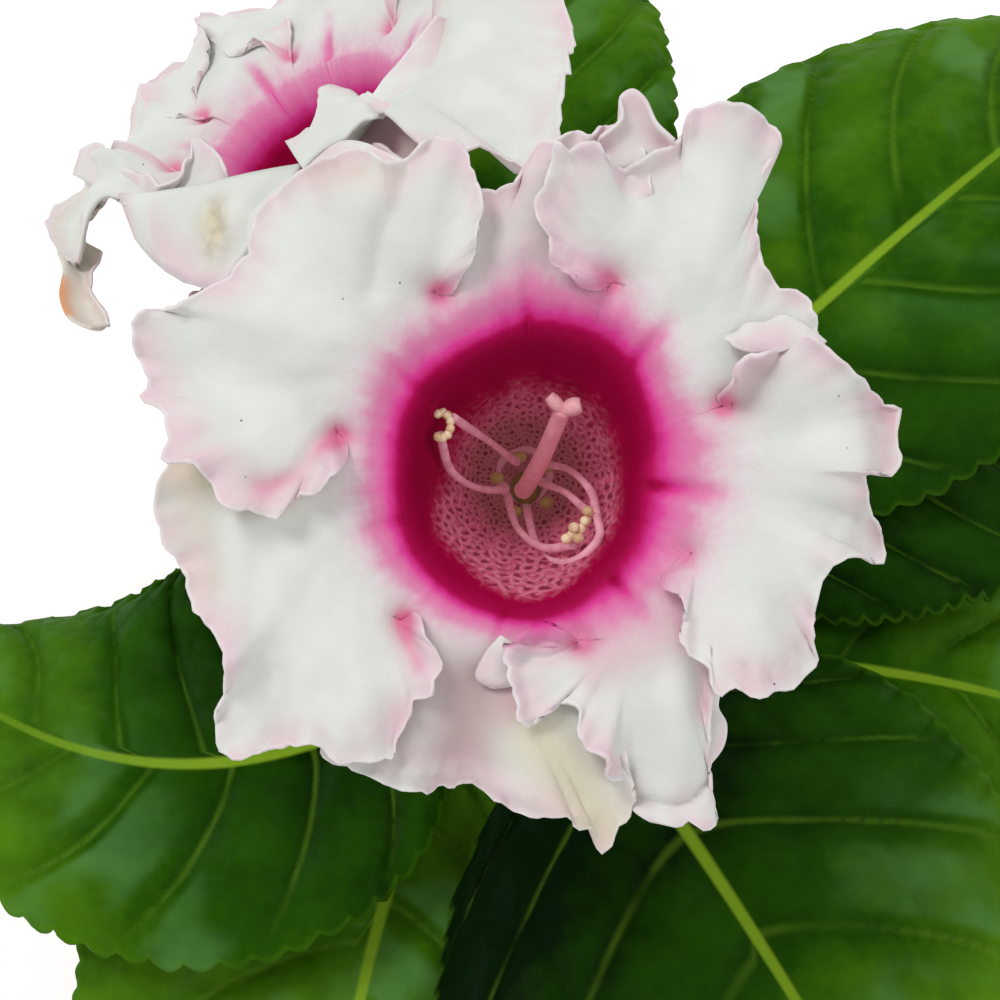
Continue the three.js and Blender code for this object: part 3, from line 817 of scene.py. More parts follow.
@dataclass(frozen=True)
class PlainFinish:
    """A finish of two mixed colours with fine relief, and an optional painted glow in the first colour."""

    name: str
    first: tuple[int, int, int]
    second: tuple[int, int, int]
    grains: float  # in a metre
    roughness: float = 0.6
    depth: float = 0.2
    sheen: float = 0.0
    specular: float = 0.4
    # painted glow: the first colour is emitted so that the part looks lit in the shaded throat
    glow: float = 0.0

    def build(self) -> Material:
        """Makes the material.

        Returns:
            The material.
        """
        recipe = Recipe(self.name)
        grain = recipe.noise(self.grains, 5)
        first, second = linear(*self.first), linear(*self.second)
        return recipe.dress(
            recipe.blend(grain.ease(0.35, 0.68), first, second), self.roughness, grain, self.depth,
            Specular_IOR_Level=self.specular, Sheen_Weight=self.sheen, Emission_Color=first,
            Emission_Strength=self.glow,
        )


# ---- Petals ----

MOUTH_RADIUS = 18.0
GATE = 0.25  # the share of a lobe's rows between the mouth and the line of its notches
EASE_IN = 0.12  # how far short of full the deep colour is at the mouth itself
CROWDING = 0.028  # how much closer a lobe's columns stand at its notches
SCALLOP = 3.3  # millimetres of a margin from one scallop to the next
BAND = 12.0  # millimetres round the throat for each radian, in the petals' patterns
FAR_INSIDE = 30.0  # a distance from the margin past which nothing changes
RADIUS, INNER_RADIUS, SPREAD = 1, 2, 3  # the columns of a mouth's table, after the angle
# the fourth tint is painted shade, laid where folds and neighbouring lobes would shade the petal
TINTS = ("pink", "warm", "peach", "painted_shade", "crust")
TUBE = [(6.9, -39.5), (7.4, -36), (9.4, -26), (11.8, -16), (13.9, -8), (16, -3), (MOUTH_RADIUS, 0)]
TUBE_FLOOR = TUBE[0][1]


@dataclass(frozen=True)
class Crease:
    """A ridge, or below zero a groove, along a line on a petal, which may carry colour and painted shade."""

    line: list[Point2]
    height: float
    width: float
    pink: float = 0.0
    warm: float = 0.0
    peach: float = 0.0
    # painted shade: a darker greyish rose where a fold or a lobe above would shade the petal
    painted_shade: float = 0.0
    crust: float = 0.0

    def weight(self, x: Array, y: Array) -> Array:
        """Finds how close points lie to the crease's line.

        Args:
            x: the points' places to the right.
            y: their places upwards.

        Returns:
            How much each point lies on it, from 0 to 1.
        """
        near = np.full(x.shape, np.inf)
        for (x0, y0), (x1, y1) in zip(self.line[:-1], self.line[1:]):
            run = max((x1 - x0) ** 2 + (y1 - y0) ** 2, 1e-9)
            share = np.clip(((x - x0) * (x1 - x0) + (y - y0) * (y1 - y0)) / run, 0, 1)
            off_x, off_y = x - x0 - share * (x1 - x0), y - y0 - share * (y1 - y0)
            near = np.minimum(near, off_x**2 + off_y**2)
        return np.exp(-near / self.width**2)


def creased(creases: tuple[Crease, ...], x: Array, y: Array) -> tuple[Array, Values]:
    """Adds up what creases do.

    Args:
        creases: the creases.
        x: the points' places to the right.
        y: their places upwards.

    Returns:
        How far each point is raised, and how strongly it carries each tint.
    """
    raised = np.zeros(x.shape)
    tints = {name: np.zeros(x.shape) for name in TINTS}
    for crease in creases:
        on = crease.weight(x, y)
        raised = raised + crease.height * on
        for name, tint in zip(TINTS, (crease.pink, crease.warm, crease.peach, crease.painted_shade, crease.crust)):
            tints[name] = tints[name] + tint * on
    return raised, tints


@dataclass(frozen=True)
class Flap:
    """A fold of a petal: a strip from its hinge to a free edge, arched between them."""

    hinge: list[Point2]
    edge: list[Point2]
    hinge_height: float
    edge_height: float
    arch: float
    frill: float = 0.4
    pink: float = 0.0
    warm: float = 0.0
    tints: tuple[Crease, ...] = ()

    def grid(self, columns: int, rows: int, seed: int) -> tuple[Grid, Values]:
        """Places the fold's points.

        Args:
            columns: how many stand along its hinge.
            rows: how many lead to its free edge.
            seed: the seed of its frill.

        Returns:
            A grid from its hinge to its free edge, and the values its points carry.
        """
        hinge, edge = spline(self.hinge, columns), spline(self.edge, columns)
        share = np.linspace(0, 1, rows)[:, None]
        flat = mix(hinge[None], edge[None], share[..., None])
        x, y = flat[..., 0], flat[..., 1]
        along = np.linspace(0, 1, columns)[None]
        ends = smooth(np.minimum(along, 1 - along), 0, 0.12)
        raised, values = creased(self.tints, x, y)
        z = mix(self.hinge_height, self.edge_height, share) + self.arch * np.sin(math.pi * share) * ends
        z = z + self.frill * share**2 * lattice_noise(x / 1.1, y / 1.1, seed) + raised
        values["pink"] = values["pink"] + self.pink
        values["warm"] = values["warm"] + self.warm
        values |= {
            "reach": np.hypot(x, y), "rim": np.linalg.norm(flat - edge[None], axis=-1), "pleat": 0.5,
            "around": BAND * np.arctan2(y, x),
        }
        return np.dstack([x, y, z]), values


@dataclass(frozen=True)
class Lobe:
    """One lobe of a corolla: its outline in the plane of the mouth, from notch to notch, and how it waves.

    The sides, the heave and the droop are each a pair, at its first notch and at its last: how high that side
    stands, how much the lobe swells near the mouth and how far its end hangs.
    """

    start: Point2
    end: Point2
    margin: list[Point2]
    sides: Point2
    heave: Point2
    droop: Point2
    waves: float
    phase: float
    creases: tuple[Crease, ...] = ()

    def sector(self, columns: int) -> tuple[Array, Array]:
        """Spreads columns from notch to notch.

        Args:
            columns: how many.

        Returns:
            The shares of the way and the angles round the mouth.
        """
        u = np.linspace(0, 1, columns)
        t = u - CROWDING * np.sin(2 * math.pi * u)
        first, last = (math.atan2(y, x) for x, y in (self.start, self.end))
        return t, first + t * ((last - first) % (2 * math.pi))

    def height(self, t: Array, r: Array) -> Array:
        """Finds how high the lobe stands over the mouth: it opens, then bends back.

        Args:
            t: shares of the way from notch to notch.
            r: distances from the middle of the mouth.

        Returns:
            A height for each point.
        """
        share = smooth(t, 0.1, 0.9)
        opening = 2.4 * smooth(r, MOUTH_RADIUS, 25) + 1.6 * smooth(r, 24, 36) - 3.2 * smooth(r, 38, 54)
        swelling = mix(*self.heave, share) * smooth(r, MOUTH_RADIUS, 27) * (1 - smooth(r, 30, 50))
        return opening + swelling - mix(*self.droop, share) * smooth(r, 30, 56) ** 1.3

    def side(self, t: Array) -> Array:
        """How high the nearer side stands."""
        return self.sides[0] * (1 - smooth(t, 0.22, 0.5)) + self.sides[1] * smooth(t, 0.5, 0.78)


@dataclass
class Corolla:
    """A bloom's petals, grown as one piece with their tube.

    The mouth is a table: an angle, the mouth's radius there, the radius inside it at which the crimson band
    ends, and how far the colour spreads outside. A streak is an angle, a radius and a strength.
    """

    name: str
    node: str
    to_world: Matrix
    lobes: list[Lobe]
    flaps: list[Flap]
    streaks: list[Point3]
    rim: list[tuple[float, float, float, float]]
    fade: float = 0.0  # how far below its mouth the deep colour begins
    columns: int = 118
    rows: int = 40
    tube_rows: int = 12
    tube_ribs: int = 14
    flap_columns: int = 44
    flap_rows: int = 12
    margin_points: int = 900
    thickness: float = 0.5
    ruffle: float = 2.1
    frilled: float = 1.0
    notch_depth: float = 2.2
    seed: int = 3

    def mouth(self, angle: Array, column: int = RADIUS) -> Array:
        """Reads the mouth's table, eased over a few degrees each way.

        Args:
            angle: angles in radians.
            column: which of its columns.

        Returns:
            A value for each angle.
        """
        table = np.array(self.rim)
        turn = np.degrees(angle)
        return sum(
            np.interp(turn + shift, table[:, 0], table[:, column], period=360) * share
            for shift, share in ((-7, 0.25), (0, 0.5), (7, 0.25))
        )

    def groove(self, x: Array, y: Array) -> Array:
        """Finds the grooves that run out from the mouth along the middles of the lobes.

        Args:
            x: the points' places to the right.
            y: their places upwards.

        Returns:
            How much each point lies in one.
        """
        total = np.zeros(x.shape)
        for angle, size, strength in self.streaks:
            cosine, sine = math.cos(math.radians(angle)), math.sin(math.radians(angle))
            out, off = x * cosine + y * sine, -x * sine + y * cosine
            width = 0.9 + 0.05 * np.maximum(out - size, 0)
            ends = smooth(out, size - 5, size) * (1 - smooth(out, size + 1, size + 7 + 7 * strength))
            total = np.maximum(total, strength * bell(off, width) * ends)
        return total

    def dimples(self, x: Array, y: Array, width: float) -> Array:
        """Finds the notches between the lobes.

        Args:
            x: the points' places to the right.
            y: their places upwards.
            width: how far a notch is felt.

        Returns:
            How close each point is to one, from 0 to 1.
        """
        near = np.min([np.hypot(x - lobe.start[0], y - lobe.start[1]) for lobe in self.lobes], axis=0)
        return bell(near, width)

    def way_out(self) -> Array:
        """A column of shares of the way from the mouth to the margin, closer at the margin."""
        return (1 - (1 - np.linspace(0, 1, self.rows)) ** 1.25)[:, None]

    def lobe_plan(self, lobe: Lobe) -> tuple[Grid, Array, float]:
        """Lays a lobe's points out in the plane of the mouth.

        Args:
            lobe: the lobe.

        Returns:
            A grid of rows by columns by two, the lobe's nibbled margin and the margin's length.
        """
        t, angle = lobe.sector(self.columns)
        away = np.minimum(t, 1 - t)
        s = self.way_out()[..., None]
        line = spline([lobe.start, *lobe.margin, lobe.end], self.margin_points)
        places = np.linspace(0, 1, len(line))
        edge = np.stack([np.interp(t, places, line[:, k]) for k in (0, 1)], axis=1)
        length = float(np.linalg.norm(np.diff(line, axis=0), axis=1).sum())
        outward = np.stack([np.cos(angle), np.sin(angle)], axis=1)
        notch_line = mix(math.hypot(*lobe.start), math.hypot(*lobe.end), t) + smooth(away, 0, 0.025)
        inner = outward * self.mouth(angle)[:, None]
        gate = outward * notch_line[:, None]
        around = length * t
        scallop = np.abs(np.sin(math.pi * around / SCALLOP + 2 * lattice_noise(around / 4, 0, self.seed)))
        nibble = 0.55 * (scallop**0.6 - 0.65) + 0.25 * lattice_noise(around / 1.6, 0, self.seed + 1)
        way = edge - gate
        way = way / np.maximum(np.linalg.norm(way, axis=1, keepdims=True), 1e-6)
        edge = edge + way * (self.frilled * nibble * smooth(away, 0.01, 0.06))[:, None]
        broad = eased(edge, 9)
        plan = np.where(s < GATE, mix(inner, gate, s / GATE), mix(gate, broad, (s - GATE) / (1 - GATE)))
        return plan + (edge - broad) * smooth(s, 0.5, 1.0), edge, length

    def lobe_grid(self, lobe: Lobe) -> tuple[Grid, Values]:
        """Places the points of one lobe, from the mouth to its margin.

        Args:
            lobe: the lobe.

        Returns:
            A grid with one row for each share of the way out, and the values its points carry.
        """
        plan, edge, length = self.lobe_plan(lobe)
        x, y = plan[..., 0], plan[..., 1]
        t = lobe.sector(self.columns)[0][None]
        s = self.way_out()
        away = np.minimum(t, 1 - t)
        reach = np.hypot(x, y)
        rim = np.linalg.norm(plan - edge, axis=-1)
        keep = smooth(away, 0.0, 0.05) * smooth(s, GATE * 0.7, GATE * 1.6)
        side = lobe.side(t)
        tucked = np.maximum(0, -np.sign(side)) * np.minimum(1, np.abs(side) / 2)
        wave = np.sin(2 * math.pi * lobe.waves * t + lobe.phase)
        around = length * t
        frill = lattice_noise(around / 0.95, s * 2, self.seed + 5) * 0.75
        frill = frill + np.sin(around * 1.35 + lobe.phase) * 0.4
        pleat = lattice_noise(around / 1.7, s * 1.2, self.seed + 9)
        raised, tints = creased(lobe.creases, x, y)
        groove = self.groove(x, y)
        free = self.ruffle * s * s * smooth(reach, 26, 40) * wave * (1 - 0.85 * tucked)
        free = free + frill * 1.25 * self.frilled * np.exp(-((rim / 2.8) ** 1.3))
        free = free + 0.45 * lattice_noise(around * 1.9, s * 3, self.seed + 21) * bell(rim, 1.6)
        free = free + 0.4 * bell(rim, 0.8) + pleat * 0.12 * smooth(reach, 24, 32) * smooth(rim, 0, 3) + raised
        over = side * smooth(s, GATE * 0.8, 0.92) * smooth(away, 0, 0.05)
        z = lobe.height(t, reach) + over + free * keep - 1.2 * groove
        z = z + lattice_noise(x / 5.2, y / 5.2, self.seed + 2) * 0.8 * smooth(reach, 24, 34)
        z = (z - self.notch_depth * self.dimples(x, y, 2.2)) * smooth(s, 0.0, 0.12)
        bearing = np.arctan2(y, x)
        outside = np.maximum(reach - self.mouth(bearing), 0) + self.fade
        tints["pink"] = tints["pink"] + 0.85 * self.dimples(x, y, 1.7) + 0.16 * self.dimples(x, y, 4.5)
        return np.dstack([x, y, z]), tints | {
            "reach": reach, "rim": rim, "around": BAND * bearing,
            "pleat": 0.5 + 0.5 * pleat * smooth(rim, 8, 1),
            "glow": np.exp(-outside / self.mouth(bearing, SPREAD) - EASE_IN) + 0.26 * groove,
        }

    def tube_grid(self) -> tuple[Grid, Values]:
        """Places the points of the tube's middle surface, from its floor to the mouth.

        Returns:
            A closed grid, and the values its points carry.
        """
        angle = np.concatenate([lobe.sector(self.columns)[1][:-1] for lobe in self.lobes])
        mouth = self.mouth(angle)[None]
        profile = spline([(0.4, TUBE_FLOOR), (3.5, TUBE_FLOOR), *TUBE], self.tube_rows)
        radius, height = profile[:, :1], profile[:, 1:]
        opened = smooth(height, -14, 0)
        rib = 0.35 * np.sin(self.tube_ribs * angle)[None] * smooth(height, -38, -20) * (1 - opened)
        shape = mix(radius, radius / MOUTH_RADIUS * mouth, opened) + rib
        outside = (self.fade + height) / self.mouth(angle, SPREAD)[None] + EASE_IN
        return lathe(shape, height, angle), {
            "reach": shape, "rim": FAR_INSIDE, "depth": -height, "pleat": 0.5,
            "around": BAND * ((angle + math.pi) % (2 * math.pi) - math.pi),
            "glow": np.exp(-np.maximum(outside, 0)),
            "inner": np.maximum(mouth - shape, 0) / (mouth - self.mouth(angle, INNER_RADIUS)[None]),
        }

    def build(self, material: Material) -> None:
        """Makes the corolla, dressed and tied to the frame.

        Args:
            material: the petals' material.
        """
        grid, values = self.tube_grid()
        surface = Surface().add(grid, closed=True, flip=True, **values)
        grids = [self.lobe_grid(lobe) for lobe in self.lobes]
        grids += [flap.grid(self.flap_columns, self.flap_rows, self.seed + 11) for flap in self.flaps]
        for grid, values in grids:
            surface.add(grid, flip=True, **values)
        made = surface.object(self.name, self.to_world)
        modifier = made.modifiers.new("thickness", "SOLIDIFY")
        modifier.thickness = self.thickness * MM
        modifier.offset = 0
        bake(made)
        clean(made)
        settle(made, material, self.node)


FRONT_LOBES = [
    Lobe(  # right
        (20.6, -10.7), (25.5, 8.6),
        [(18.9, -12.6), (17.2, -14.3), (19.5, -16), (20, -18.9), (19.5, -21.6), (20.7, -23.7), (23, -24.9),
         (23.6, -28), (24.8, -28.6), (26.5, -27.6), (29.5, -28.8), (31.5, -27.9), (34, -28.4), (35, -27),
         (37.7, -24.9), (37, -22.4), (36.8, -19.2), (37.5, -15.3), (39.6, -11.6), (44, -11), (46.2, -12.2),
         (47.6, -9.8), (46.3, -7), (44.4, -5.2), (43.8, -2.4), (43.6, 0), (45.6, -0.4), (47.4, -0.2),
         (48.8, 2.2), (48.3, 5.4), (49.2, 8.2), (46.8, 9), (42.6, 12.2), (38, 15.5), (36, 17.4), (32.2, 15.7),
         (30.8, 15.3), (27.8, 14.8), (26.7, 13.4), (26.3, 11.4), (24.7, 9.9)],
        (2.6, 2.6), (1, 0.5), (0, 0), 5, 0.4,
        (
            Crease([(37.9, 15.5), (42.6, 11.6), (43.6, 5), (43.3, 0.4), (43.3, -5), (40, -10.6)], 0.7, 1.3,
                   painted_shade=0.14),
            Crease([(46.5, 11), (48, 3)], -3.4, 3.2, pink=0.26, painted_shade=0.12),
            Crease([(46.6, -9.6), (45.8, -3)], -2.6, 2.6, pink=0.14, painted_shade=0.1),
            Crease([(18, -14.3), (19.8, -18.9), (19.7, -22), (22.6, -25), (23.8, -28.2)], 1.1, 1.1),
            Crease([(25, 10), (26.7, 12), (27.6, 14.2), (31, 15.1)], 1.7, 0.8),
            Crease([(28.6, 8.6), (30.4, 12.4)], -1.8, 2.2, pink=0.06, painted_shade=0.3),
            Crease([(25.5, -21), (28, -26.5)], 0.1, 3.2, pink=0.2),
            Crease([(33, -18), (34.4, -26)], -0.6, 2.4, pink=0.12),
            Crease([(28, -8), (36, -4), (41, 2)], 0.9, 4.5),
            Crease([(27.6, -29), (27.6, -24.6)], -0.8, 0.5),
            Crease([(30.6, -29), (30.6, -24.8)], -0.8, 0.5),
            Crease([(33.2, -28), (32.8, -24.4)], -0.8, 0.5),
            Crease([(36, -26), (34.6, -22.6)], -0.8, 0.5),
        ),
    ),
    Lobe(  # upper right
        (25.5, 8.6), (10.7, 24.4),
        [(30, 11.5), (35, 14.5), (38, 17.4), (36, 23.1), (32.4, 24.4), (30.6, 26.8), (30, 30), (29.9, 34.7),
         (30.6, 39), (33.4, 43.3), (32.1, 45.7), (28.3, 47.5), (24.8, 47.8), (20.8, 46.3), (20.2, 44.1),
         (19, 42.2), (17, 41.2), (13.9, 39.8), (12.1, 39.2), (10.7, 39.6), (9.3, 41.4), (7.9, 41.9),
         (4.7, 40.9), (3.7, 41.9), (2.6, 38.4), (1.6, 35.6), (0.9, 33.1), (2.3, 30.7), (3, 28.9), (2.9, 27.1),
         (4.7, 25.7), (6.2, 24.2), (9.3, 23.7)],
        (-2.2, 2.6), (0.5, 0), (0, 0), 4, 1.1,
        (
            Crease([(20.4, 44.6), (17.6, 41.6), (12.1, 39.3), (9.3, 41.3), (4.4, 41)], 1.8, 1.3),
            Crease([(12.5, 33), (12.6, 37.2)], -0.9, 2.6),
            Crease([(3, 38), (1.4, 34), (2.8, 29), (5, 25.8), (9, 24)], 1.2, 1.3),
            Crease([(6, 27.5), (9.5, 26)], -0.5, 1.8, pink=0.35),
            Crease([(5, 31), (5, 37)], 0, 2.6, pink=0.15),
            Crease([(25, 26), (27, 40)], 1.0, 3.6),
            Crease([(16, 26), (20, 34)], -0.7, 3.4),
            Crease([(31, 45), (29.5, 40)], -0.7, 2.0),
        ),
    ),
    Lobe(  # top
        (10.7, 24.4), (-11.4, 23.2),
        [(13, 27.5), (14.5, 31), (16, 38), (13.4, 44.4), (11.8, 45.4), (9.7, 45.1), (8.4, 43.4), (6.2, 43.9),
         (4.1, 43), (1.6, 42.3), (0.3, 40.6), (-2, 37.4), (-5.4, 36.2), (-11, 37), (-15.5, 33),
         (-14.5, 28.5)],
        (-1.2, -1.2), (0, 0.5), (0, 0), 4, 2.0,
        (
            Crease([(0, 26), (0, 38)], 1.0, 4.6, pink=0.2),
            Crease([(-5.6, 26), (-5, 34)], -0.5, 2.2, pink=0.1),
            Crease([(5, 42), (11, 44)], 0.4, 2.0, pink=0.12),
        ),
    ),
    Lobe(  # upper left
        (-11.4, 23.2), (-24.4, 4.7),
        [(-9.6, 23.2), (-8.4, 25.6), (-6.9, 27.6), (-6.3, 31.2), (-5.7, 35), (-7, 38.6), (-8.8, 42.3),
         (-11.6, 43.2), (-13.2, 42.2), (-16.6, 39.6), (-22.5, 41.4), (-28, 39.4), (-33.5, 36), (-35.9, 32.4),
         (-36.6, 28.4), (-40.6, 24.2), (-45.2, 21.4), (-50.4, 20.6), (-51.3, 15.7), (-49.4, 11.9),
         (-50.6, 9.4), (-47.4, 8.2), (-46.2, 4), (-46.6, 1.2), (-43.2, 1.2), (-40.4, -1.6), (-38.4, -4.8),
         (-35, -5.1), (-31.5, -5.7), (-30.2, -3.8), (-27.4, -2.8), (-25.4, -1.2), (-23.6, 1.2),
         (-23.6, 3.8)],
        (2.6, 2.6), (0.5, 0.5), (0, 0), 4, 0.9,
        (
            Crease([(-14.4, 40.4), (-18.8, 30), (-20, 23.5)], -1.4, 1.7),
            Crease([(-10, 41), (-12.5, 33), (-14, 27)], 1.2, 2.4),
            Crease([(-6.2, 36), (-6.6, 30), (-9.4, 24)], 0.8, 1.2, pink=0.12),
            Crease([(-26, 2.6), (-24.6, 0.4), (-28, -2.6), (-31, -4.8), (-38, -4.4)], 1.6, 1.4, pink=0.15),
            Crease([(-27, 3), (-29.6, -0.6), (-34, -2.2)], -0.7, 1.8, pink=0.36),
            Crease([(-33, -1), (-42, 4)], 0, 3.4, pink=0.14),
            Crease([(-24, 12), (-38, 6)], -0.8, 3.4),
            Crease([(-22, 16), (-40, 20)], 1.0, 5.0),
            Crease([(-50, 10), (-45, 10)], 0.8, 0.8, pink=0.2),
            Crease([(-46, 3), (-42, 6)], 0.6, 0.9, pink=0.1),
            Crease([(-18, 37.6), (-27, 38.4)], -0.5, 1.8, warm=0.3, pink=0.08),
        ),
    ),
    Lobe(  # lower left
        (-24.4, 4.7), (-15.9, -19.3),
        [(-30, 5.5), (-38, 5.5), (-45, 4), (-47.9, -0.9), (-48.8, -4.2), (-48.3, -8), (-45.6, -12.7),
         (-43.2, -18), (-39.4, -22.4), (-38.9, -24), (-39.3, -28.2), (-40.9, -32.6), (-40.7, -36),
         (-39.6, -37), (-36.2, -37.3), (-33.3, -36.2), (-28.8, -34.9), (-26.6, -35.2), (-25.6, -36.4),
         (-24.4, -37.2), (-20.4, -37.3), (-17.2, -36.7), (-17, -34.6), (-15, -31.6), (-14.9, -29.5),
         (-12.1, -28.4), (-11.9, -27), (-11.1, -24.7), (-12.5, -22.1), (-14.3, -18.4)],
        (-2.2, 2.6), (0.5, 0), (0, 1), 4, 2.6,
        (
            Crease([(-30, -3), (-37, -7), (-38.6, -16), (-38.2, -24)], 1.7, 2.2),
            Crease([(-44, -4), (-42, -14)], -1.4, 3.2, warm=0.25, pink=0.08),
            Crease([(-33, -1.5), (-45, 1)], 0, 3.6, warm=0.7),
            Crease([(-33.4, -27), (-33.4, -34)], -1.5, 2.4),
            Crease([(-39.6, -31), (-38.6, -36)], 0.9, 1.3),
            Crease([(-20, -26), (-20.5, -33)], 0.9, 2.8, pink=0.1),
            Crease([(-14.6, -19.4), (-12.6, -22.6), (-11.4, -25.4)], 1.4, 1.1),
            Crease([(-15.4, -22), (-14, -25)], -0.4, 1.6, pink=0.42),
            Crease([(-16.6, -30), (-18.6, -34.6)], -0.2, 2.4, pink=0.18),
            Crease([(-24, -10), (-30, -20)], 0.8, 4.5),
        ),
    ),
    Lobe(  # bottom
        (-15.9, -19.3), (6.9, -22),
        [(-18.6, -22.4), (-22, -27), (-25.6, -32.5), (-26.6, -37), (-23.6, -38.6), (-20.8, -39.2),
         (-18, -40.6), (-15.4, -41.9), (-14.2, -41.2), (-12.6, -42), (-11.4, -40.6), (-9.6, -41.6),
         (-8.6, -40.2), (-6.4, -40.4), (-4, -42.6), (-1, -44), (3, -44.4), (4.9, -44.2), (6.4, -46.2),
         (8.2, -46.3), (9, -48.7), (9.9, -49.9), (11, -48.6), (11.3, -47.2), (13.8, -44.3), (13, -38),
         (11.5, -31), (9.4, -26)],
        (-1.4, -1.4), (0, 0.5), (0.5, 0.5), 4, 0.2,
        (
            Crease([(-15, -39), (-6.4, -39.6), (1, -42), (7.6, -45)], 1.5, 1.3),
            Crease([(1.5, -34), (5.4, -39), (9.6, -46)], 1.2, 4.2, warm=0.75),
            Crease([(-7, -27), (-9, -37)], -0.9, 4.8, pink=0.24, painted_shade=0.56),
            Crease([(-14, -26), (-17, -36)], 0.4, 3.8, pink=0.06, painted_shade=0.36),
            Crease([(-1, -25), (-2, -30)], 0.4, 2.8, pink=0.3),
        ),
    ),
    Lobe(  # lower right
        (6.9, -22), (20.6, -10.7),
        [(5.2, -22), (4.4, -20.5), (2.7, -19.6), (0.3, -20.1), (-1.7, -21.7), (-2.2, -23.4), (-3.1, -22.2),
         (-3, -24.6), (-2.4, -26.5), (-1.4, -29.2), (-1.3, -32), (-0.5, -32.8), (1.1, -32), (3, -30.6),
         (5, -29.7), (6.4, -30.6), (6.6, -33.4), (7.2, -35.5), (8.5, -36.2), (10.4, -37.2), (10, -39.2),
         (12.2, -40.1), (12.6, -41.6), (14, -44.2), (17, -45.5), (19.8, -45.9), (21.4, -45.5), (23, -46.5),
         (24.9, -46.2), (24.1, -43), (23.8, -38.4), (23.7, -32), (24.6, -27), (25.4, -22), (24.2, -16)],
        (2.6, -2.2), (0.5, 1), (1, 0), 5, 1.7,
        (
            Crease([(5, -21), (2.7, -19.9), (0, -20.6), (-1.8, -22.4)], 1.6, 1.2),
            Crease([(-0.6, -24.4), (2.8, -24.3), (6, -22.9)], -1.5, 0.9),
            Crease([(3.6, -22), (0.6, -22.6)], -0.5, 1.4, pink=0.28),
            Crease([(-2.6, -24), (-1.6, -29), (-1, -32.2)], 1.3, 1.1),
            Crease([(-0.8, -32.4), (2.6, -30.8), (5, -29.9), (6.6, -31)], 0.9, 0.8),
            Crease([(7.2, -32.4), (8.4, -35.4), (11.4, -38.4)], 0.5, 1.1, pink=0.2),
            Crease([(14.6, -42.6), (18.6, -43.6), (21.4, -42.6), (23, -40.6)], -1.6, 0.8),
            Crease([(14.6, -44.6), (19.6, -45.6), (23.6, -45.4)], 0.8, 1.0),
            Crease([(11, -28), (14, -38)], -0.6, 3.2),
            Crease([(19, -22), (20.4, -36)], 0.9, 3.2),
            Crease([(23.4, -26), (22.6, -31)], -0.7, 1.8, pink=0.32),
            Crease([(20, -15), (23.6, -22)], 0, 3.0, pink=0.35),
            Crease([(11, -24), (18, -21)], 0.6, 5.4, pink=0.26),
        ),
    ),
]
FRONT_FLAPS = [
    # upper right: the margin's fold stands behind its own dip
    Flap([(8.6, 41.4), (10.7, 39.2), (12.6, 39), (15.4, 40.2), (18.6, 41.6)],
         [(9.4, 43), (12.2, 45.6), (12, 48.2), (13.5, 49.2), (15.1, 48), (16.6, 44.8), (18.9, 42.6)],
         3.6, 5.6, -0.9, 0.3, pink=0.2),
    # right: the margin's upper end folds over in an S
    Flap([(38.4, 16.6), (35.4, 19), (32.8, 20.2), (30.8, 19.3), (28, 19), (27, 17.9), (25.4, 17.3)],
         [(37.6, 15.9), (35, 16.2), (32.4, 15.3), (30.8, 15.1), (28, 15.3), (26.4, 16), (25.3, 17)],
         5.4, 7.0, 0.8, 0.15, pink=0.1),
    # lower right: a side flap under the curl
    Flap([(-1.4, -22.6), (-2, -24.6), (-1.6, -27.6)],
         [(-3.4, -21.2), (-5.4, -23.6), (-6.6, -26.6), (-4.4, -28)], 4.4, 3.6, 0.9, 0.2, pink=0.08),
    # lower right: a frill behind its straight side
    Flap([(23.6, -27), (23.4, -32), (23.4, -38.2)],
         [(25.7, -27.6), (25, -30.9), (26.1, -33.1), (25.7, -36), (23.9, -38.4)], 0.6, -0.8, 0.4, 0.5),
    # lower left: a small fold behind the frilled side
    Flap([(-14.6, -28.2), (-12.6, -27.4)], [(-13, -30), (-11.4, -30), (-10.9, -28.6)], 1.8, 1.2, 0.5, 0.2),
]
# angle, radius and strength of each streak that runs out from the mouth
FRONT_STREAKS = [(90, 19.4, 0.5), (46, 19.8, 0.6), (-6, 15.6, 1.0), (-51, 17.2, 0.75), (-100, 18.8, 0.3),
                 (-160, 17.6, 0.45), (142, 18.3, 0.3)]
FRONT_MOUTH = [(-180, 16.6, 10.6, 3.6), (-161, 17.3, 12.6, 3.4), (-150, 18.0, 14.4, 3.2),
               (-124, 18.4, 14.6, 2.8), (-101, 18.9, 16.6, 2.2), (-88, 19.3, 17.0, 2.0),
               (-71, 18.6, 16.2, 3.2), (-53, 17.2, 14.4, 4.6), (-29, 16.6, 13.8, 5.0), (-6, 14.9, 12.6, 6.4),
               (14, 16.8, 12.4, 5.4), (30, 17.5, 12.6, 3.4), (45, 19.2, 12.6, 3.6), (60, 19.9, 12.4, 4.4),
               (90, 19.2, 12.0, 4.8), (103, 17.9, 11.4, 4.2), (120, 17.4, 10.6, 4.2), (143, 17.7, 10.8, 4.4),
               (160, 17.1, 10.6, 4.0)]

